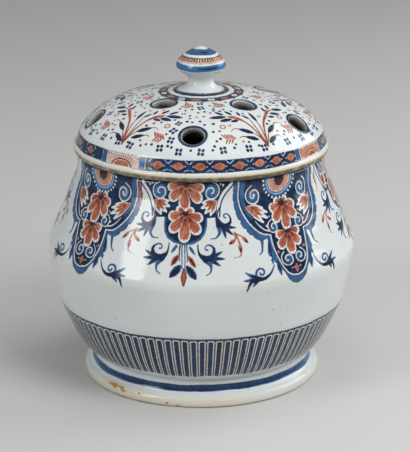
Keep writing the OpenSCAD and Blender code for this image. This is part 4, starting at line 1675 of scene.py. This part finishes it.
# Biscuit earthenware, fired without glaze: dry buff clay with fine grog, and dirt from years of handling
biscuitPlan = {
    "clay": "#c9ac80",
    "clayDark": "#9c7c52",
    "grogMm": 1.6,             # drawn coarser than real so that it shows
    "grogDetail": 3.0,
    "stainMm": 22.0,
    "stainDetail": 4.0,
    "darkSpan": (0.12, 0.4),
    "roughness": 0.8,
    "bump": 0.4,
    "bumpMm": 0.3,
}


def biscuitMaterial(name):
    material = bpy.data.materials.new(name)
    material.use_nodes = True
    tree = material.node_tree
    shader = tree.nodes["Principled BSDF"].inputs
    plan = biscuitPlan
    where = addNode(tree, "TexCoord", {}, {}, "Object")
    grog, stain = [addNode(tree, "TexNoise", {}, {
        "Vector": where, "Scale": 1 / (plan[key + "Mm"] * mm), "Detail": plan[key + "Detail"]}, "Fac")
        for key in ("grog", "stain")]
    low, high = plan["darkSpan"]
    dark = addNode(tree, "Math", {"operation": "MULTIPLY"}, {0: grog, 1: stain})
    dark = addNode(tree, "MapRange", {}, {"Value": dark, "From Min": low, "From Max": high})
    color = addNode(tree, "Mix", asColor, {
        mixFactor: dark, mixA: hexColor(plan["clay"]), mixB: hexColor(plan["clayDark"])}, mixOut)
    bump = addNode(tree, "Bump", {}, {
        "Strength": plan["bump"], "Distance": plan["bumpMm"] * mm, "Height": grog})
    tree.links.new(color, shader["Base Color"])
    tree.links.new(bump, shader["Normal"])
    shader["Roughness"].default_value = plan["roughness"]
    return material


flange.data.materials.append(biscuitMaterial("biscuit earthenware"))
print("materials ready")

riders = (
    (jar, "jar", "jar_body", "painted_jar"),
    (foot, "jar", "foot_ring", "glazed_foot"),
    (lid, "lid", "lid_dome", "painted_lid"),
    (knob, "lid", "lid_knob", "painted_knob"),
    (flange, "lid", "lid_flange", "bare_flange"),
)
for piece, body, node, slot in riders:
    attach(piece, body)
    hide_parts(node)

# A pale sweep of matt paper, even and without gloss, and soft lights to the right, left and overhead
stagePlan = {
    "paper": "#c4c4c2",
    "paperRough": 0.9,
    "half": 6.0,                # m
    "world": "#ffffff",
    "worldStrength": 0.32,
    "aim": 0.11,                # m, height that the lamps look at
    "lamps": {      # bearing and rise in degrees, distance, width and height in m, watts, seen in the glaze
        "keyRight": (112, 30, 1.5, 1.1, 1.1, 10, True),
        "veilFront": (42, 42, 1.5, 0.7, 0.8, 12.5, False),
        "fillLeft": (-52, 28, 1.5, 0.48, 0.9, 6.8, True),
        "overhead": (20, 80, 1.4, 0.9, 0.9, 2.5, True),
    },
}
half = stagePlan["half"]
floorMesh = bpy.data.meshes.new("floor")
floorMesh.from_pydata([(x, y, 0) for x, y in box(-half, -half, half, half)], [], [(0, 1, 2, 3)])
floor = bpy.data.objects.new("floor", floorMesh)
scene.collection.objects.link(floor)
paper = bpy.data.materials.new("matt paper sweep")
paper.use_nodes = True
paperShader = paper.node_tree.nodes["Principled BSDF"].inputs
paperShader["Base Color"].default_value = hexColor(stagePlan["paper"])
paperShader["Roughness"].default_value = stagePlan["paperRough"]
floorMesh.materials.append(paper)

for name, (bearing, rise, distance, wide, high, watts, mirrored) in stagePlan["lamps"].items():
    lampData = bpy.data.lights.new(name, "AREA")
    lampData.shape = "RECTANGLE"
    lampData.size = wide
    lampData.size_y = high
    lampData.energy = watts
    lamp = bpy.data.objects.new(name, lampData)
    a, e = math.radians(bearing), math.radians(rise)
    lamp.location = (distance * math.sin(a) * math.cos(e), -distance * math.cos(a) * math.cos(e),
                     stagePlan["aim"] + distance * math.sin(e))
    lamp.rotation_euler = (math.radians(90 - rise), 0, a)
    lamp.visible_glossy = mirrored
    scene.collection.objects.link(lamp)
world = bpy.data.worlds.new("studio")
world.use_nodes = True
background = world.node_tree.nodes["Background"].inputs
background["Color"].default_value = hexColor(stagePlan["world"])
background["Strength"].default_value = stagePlan["worldStrength"]
scene.world = world
print("stage ready")
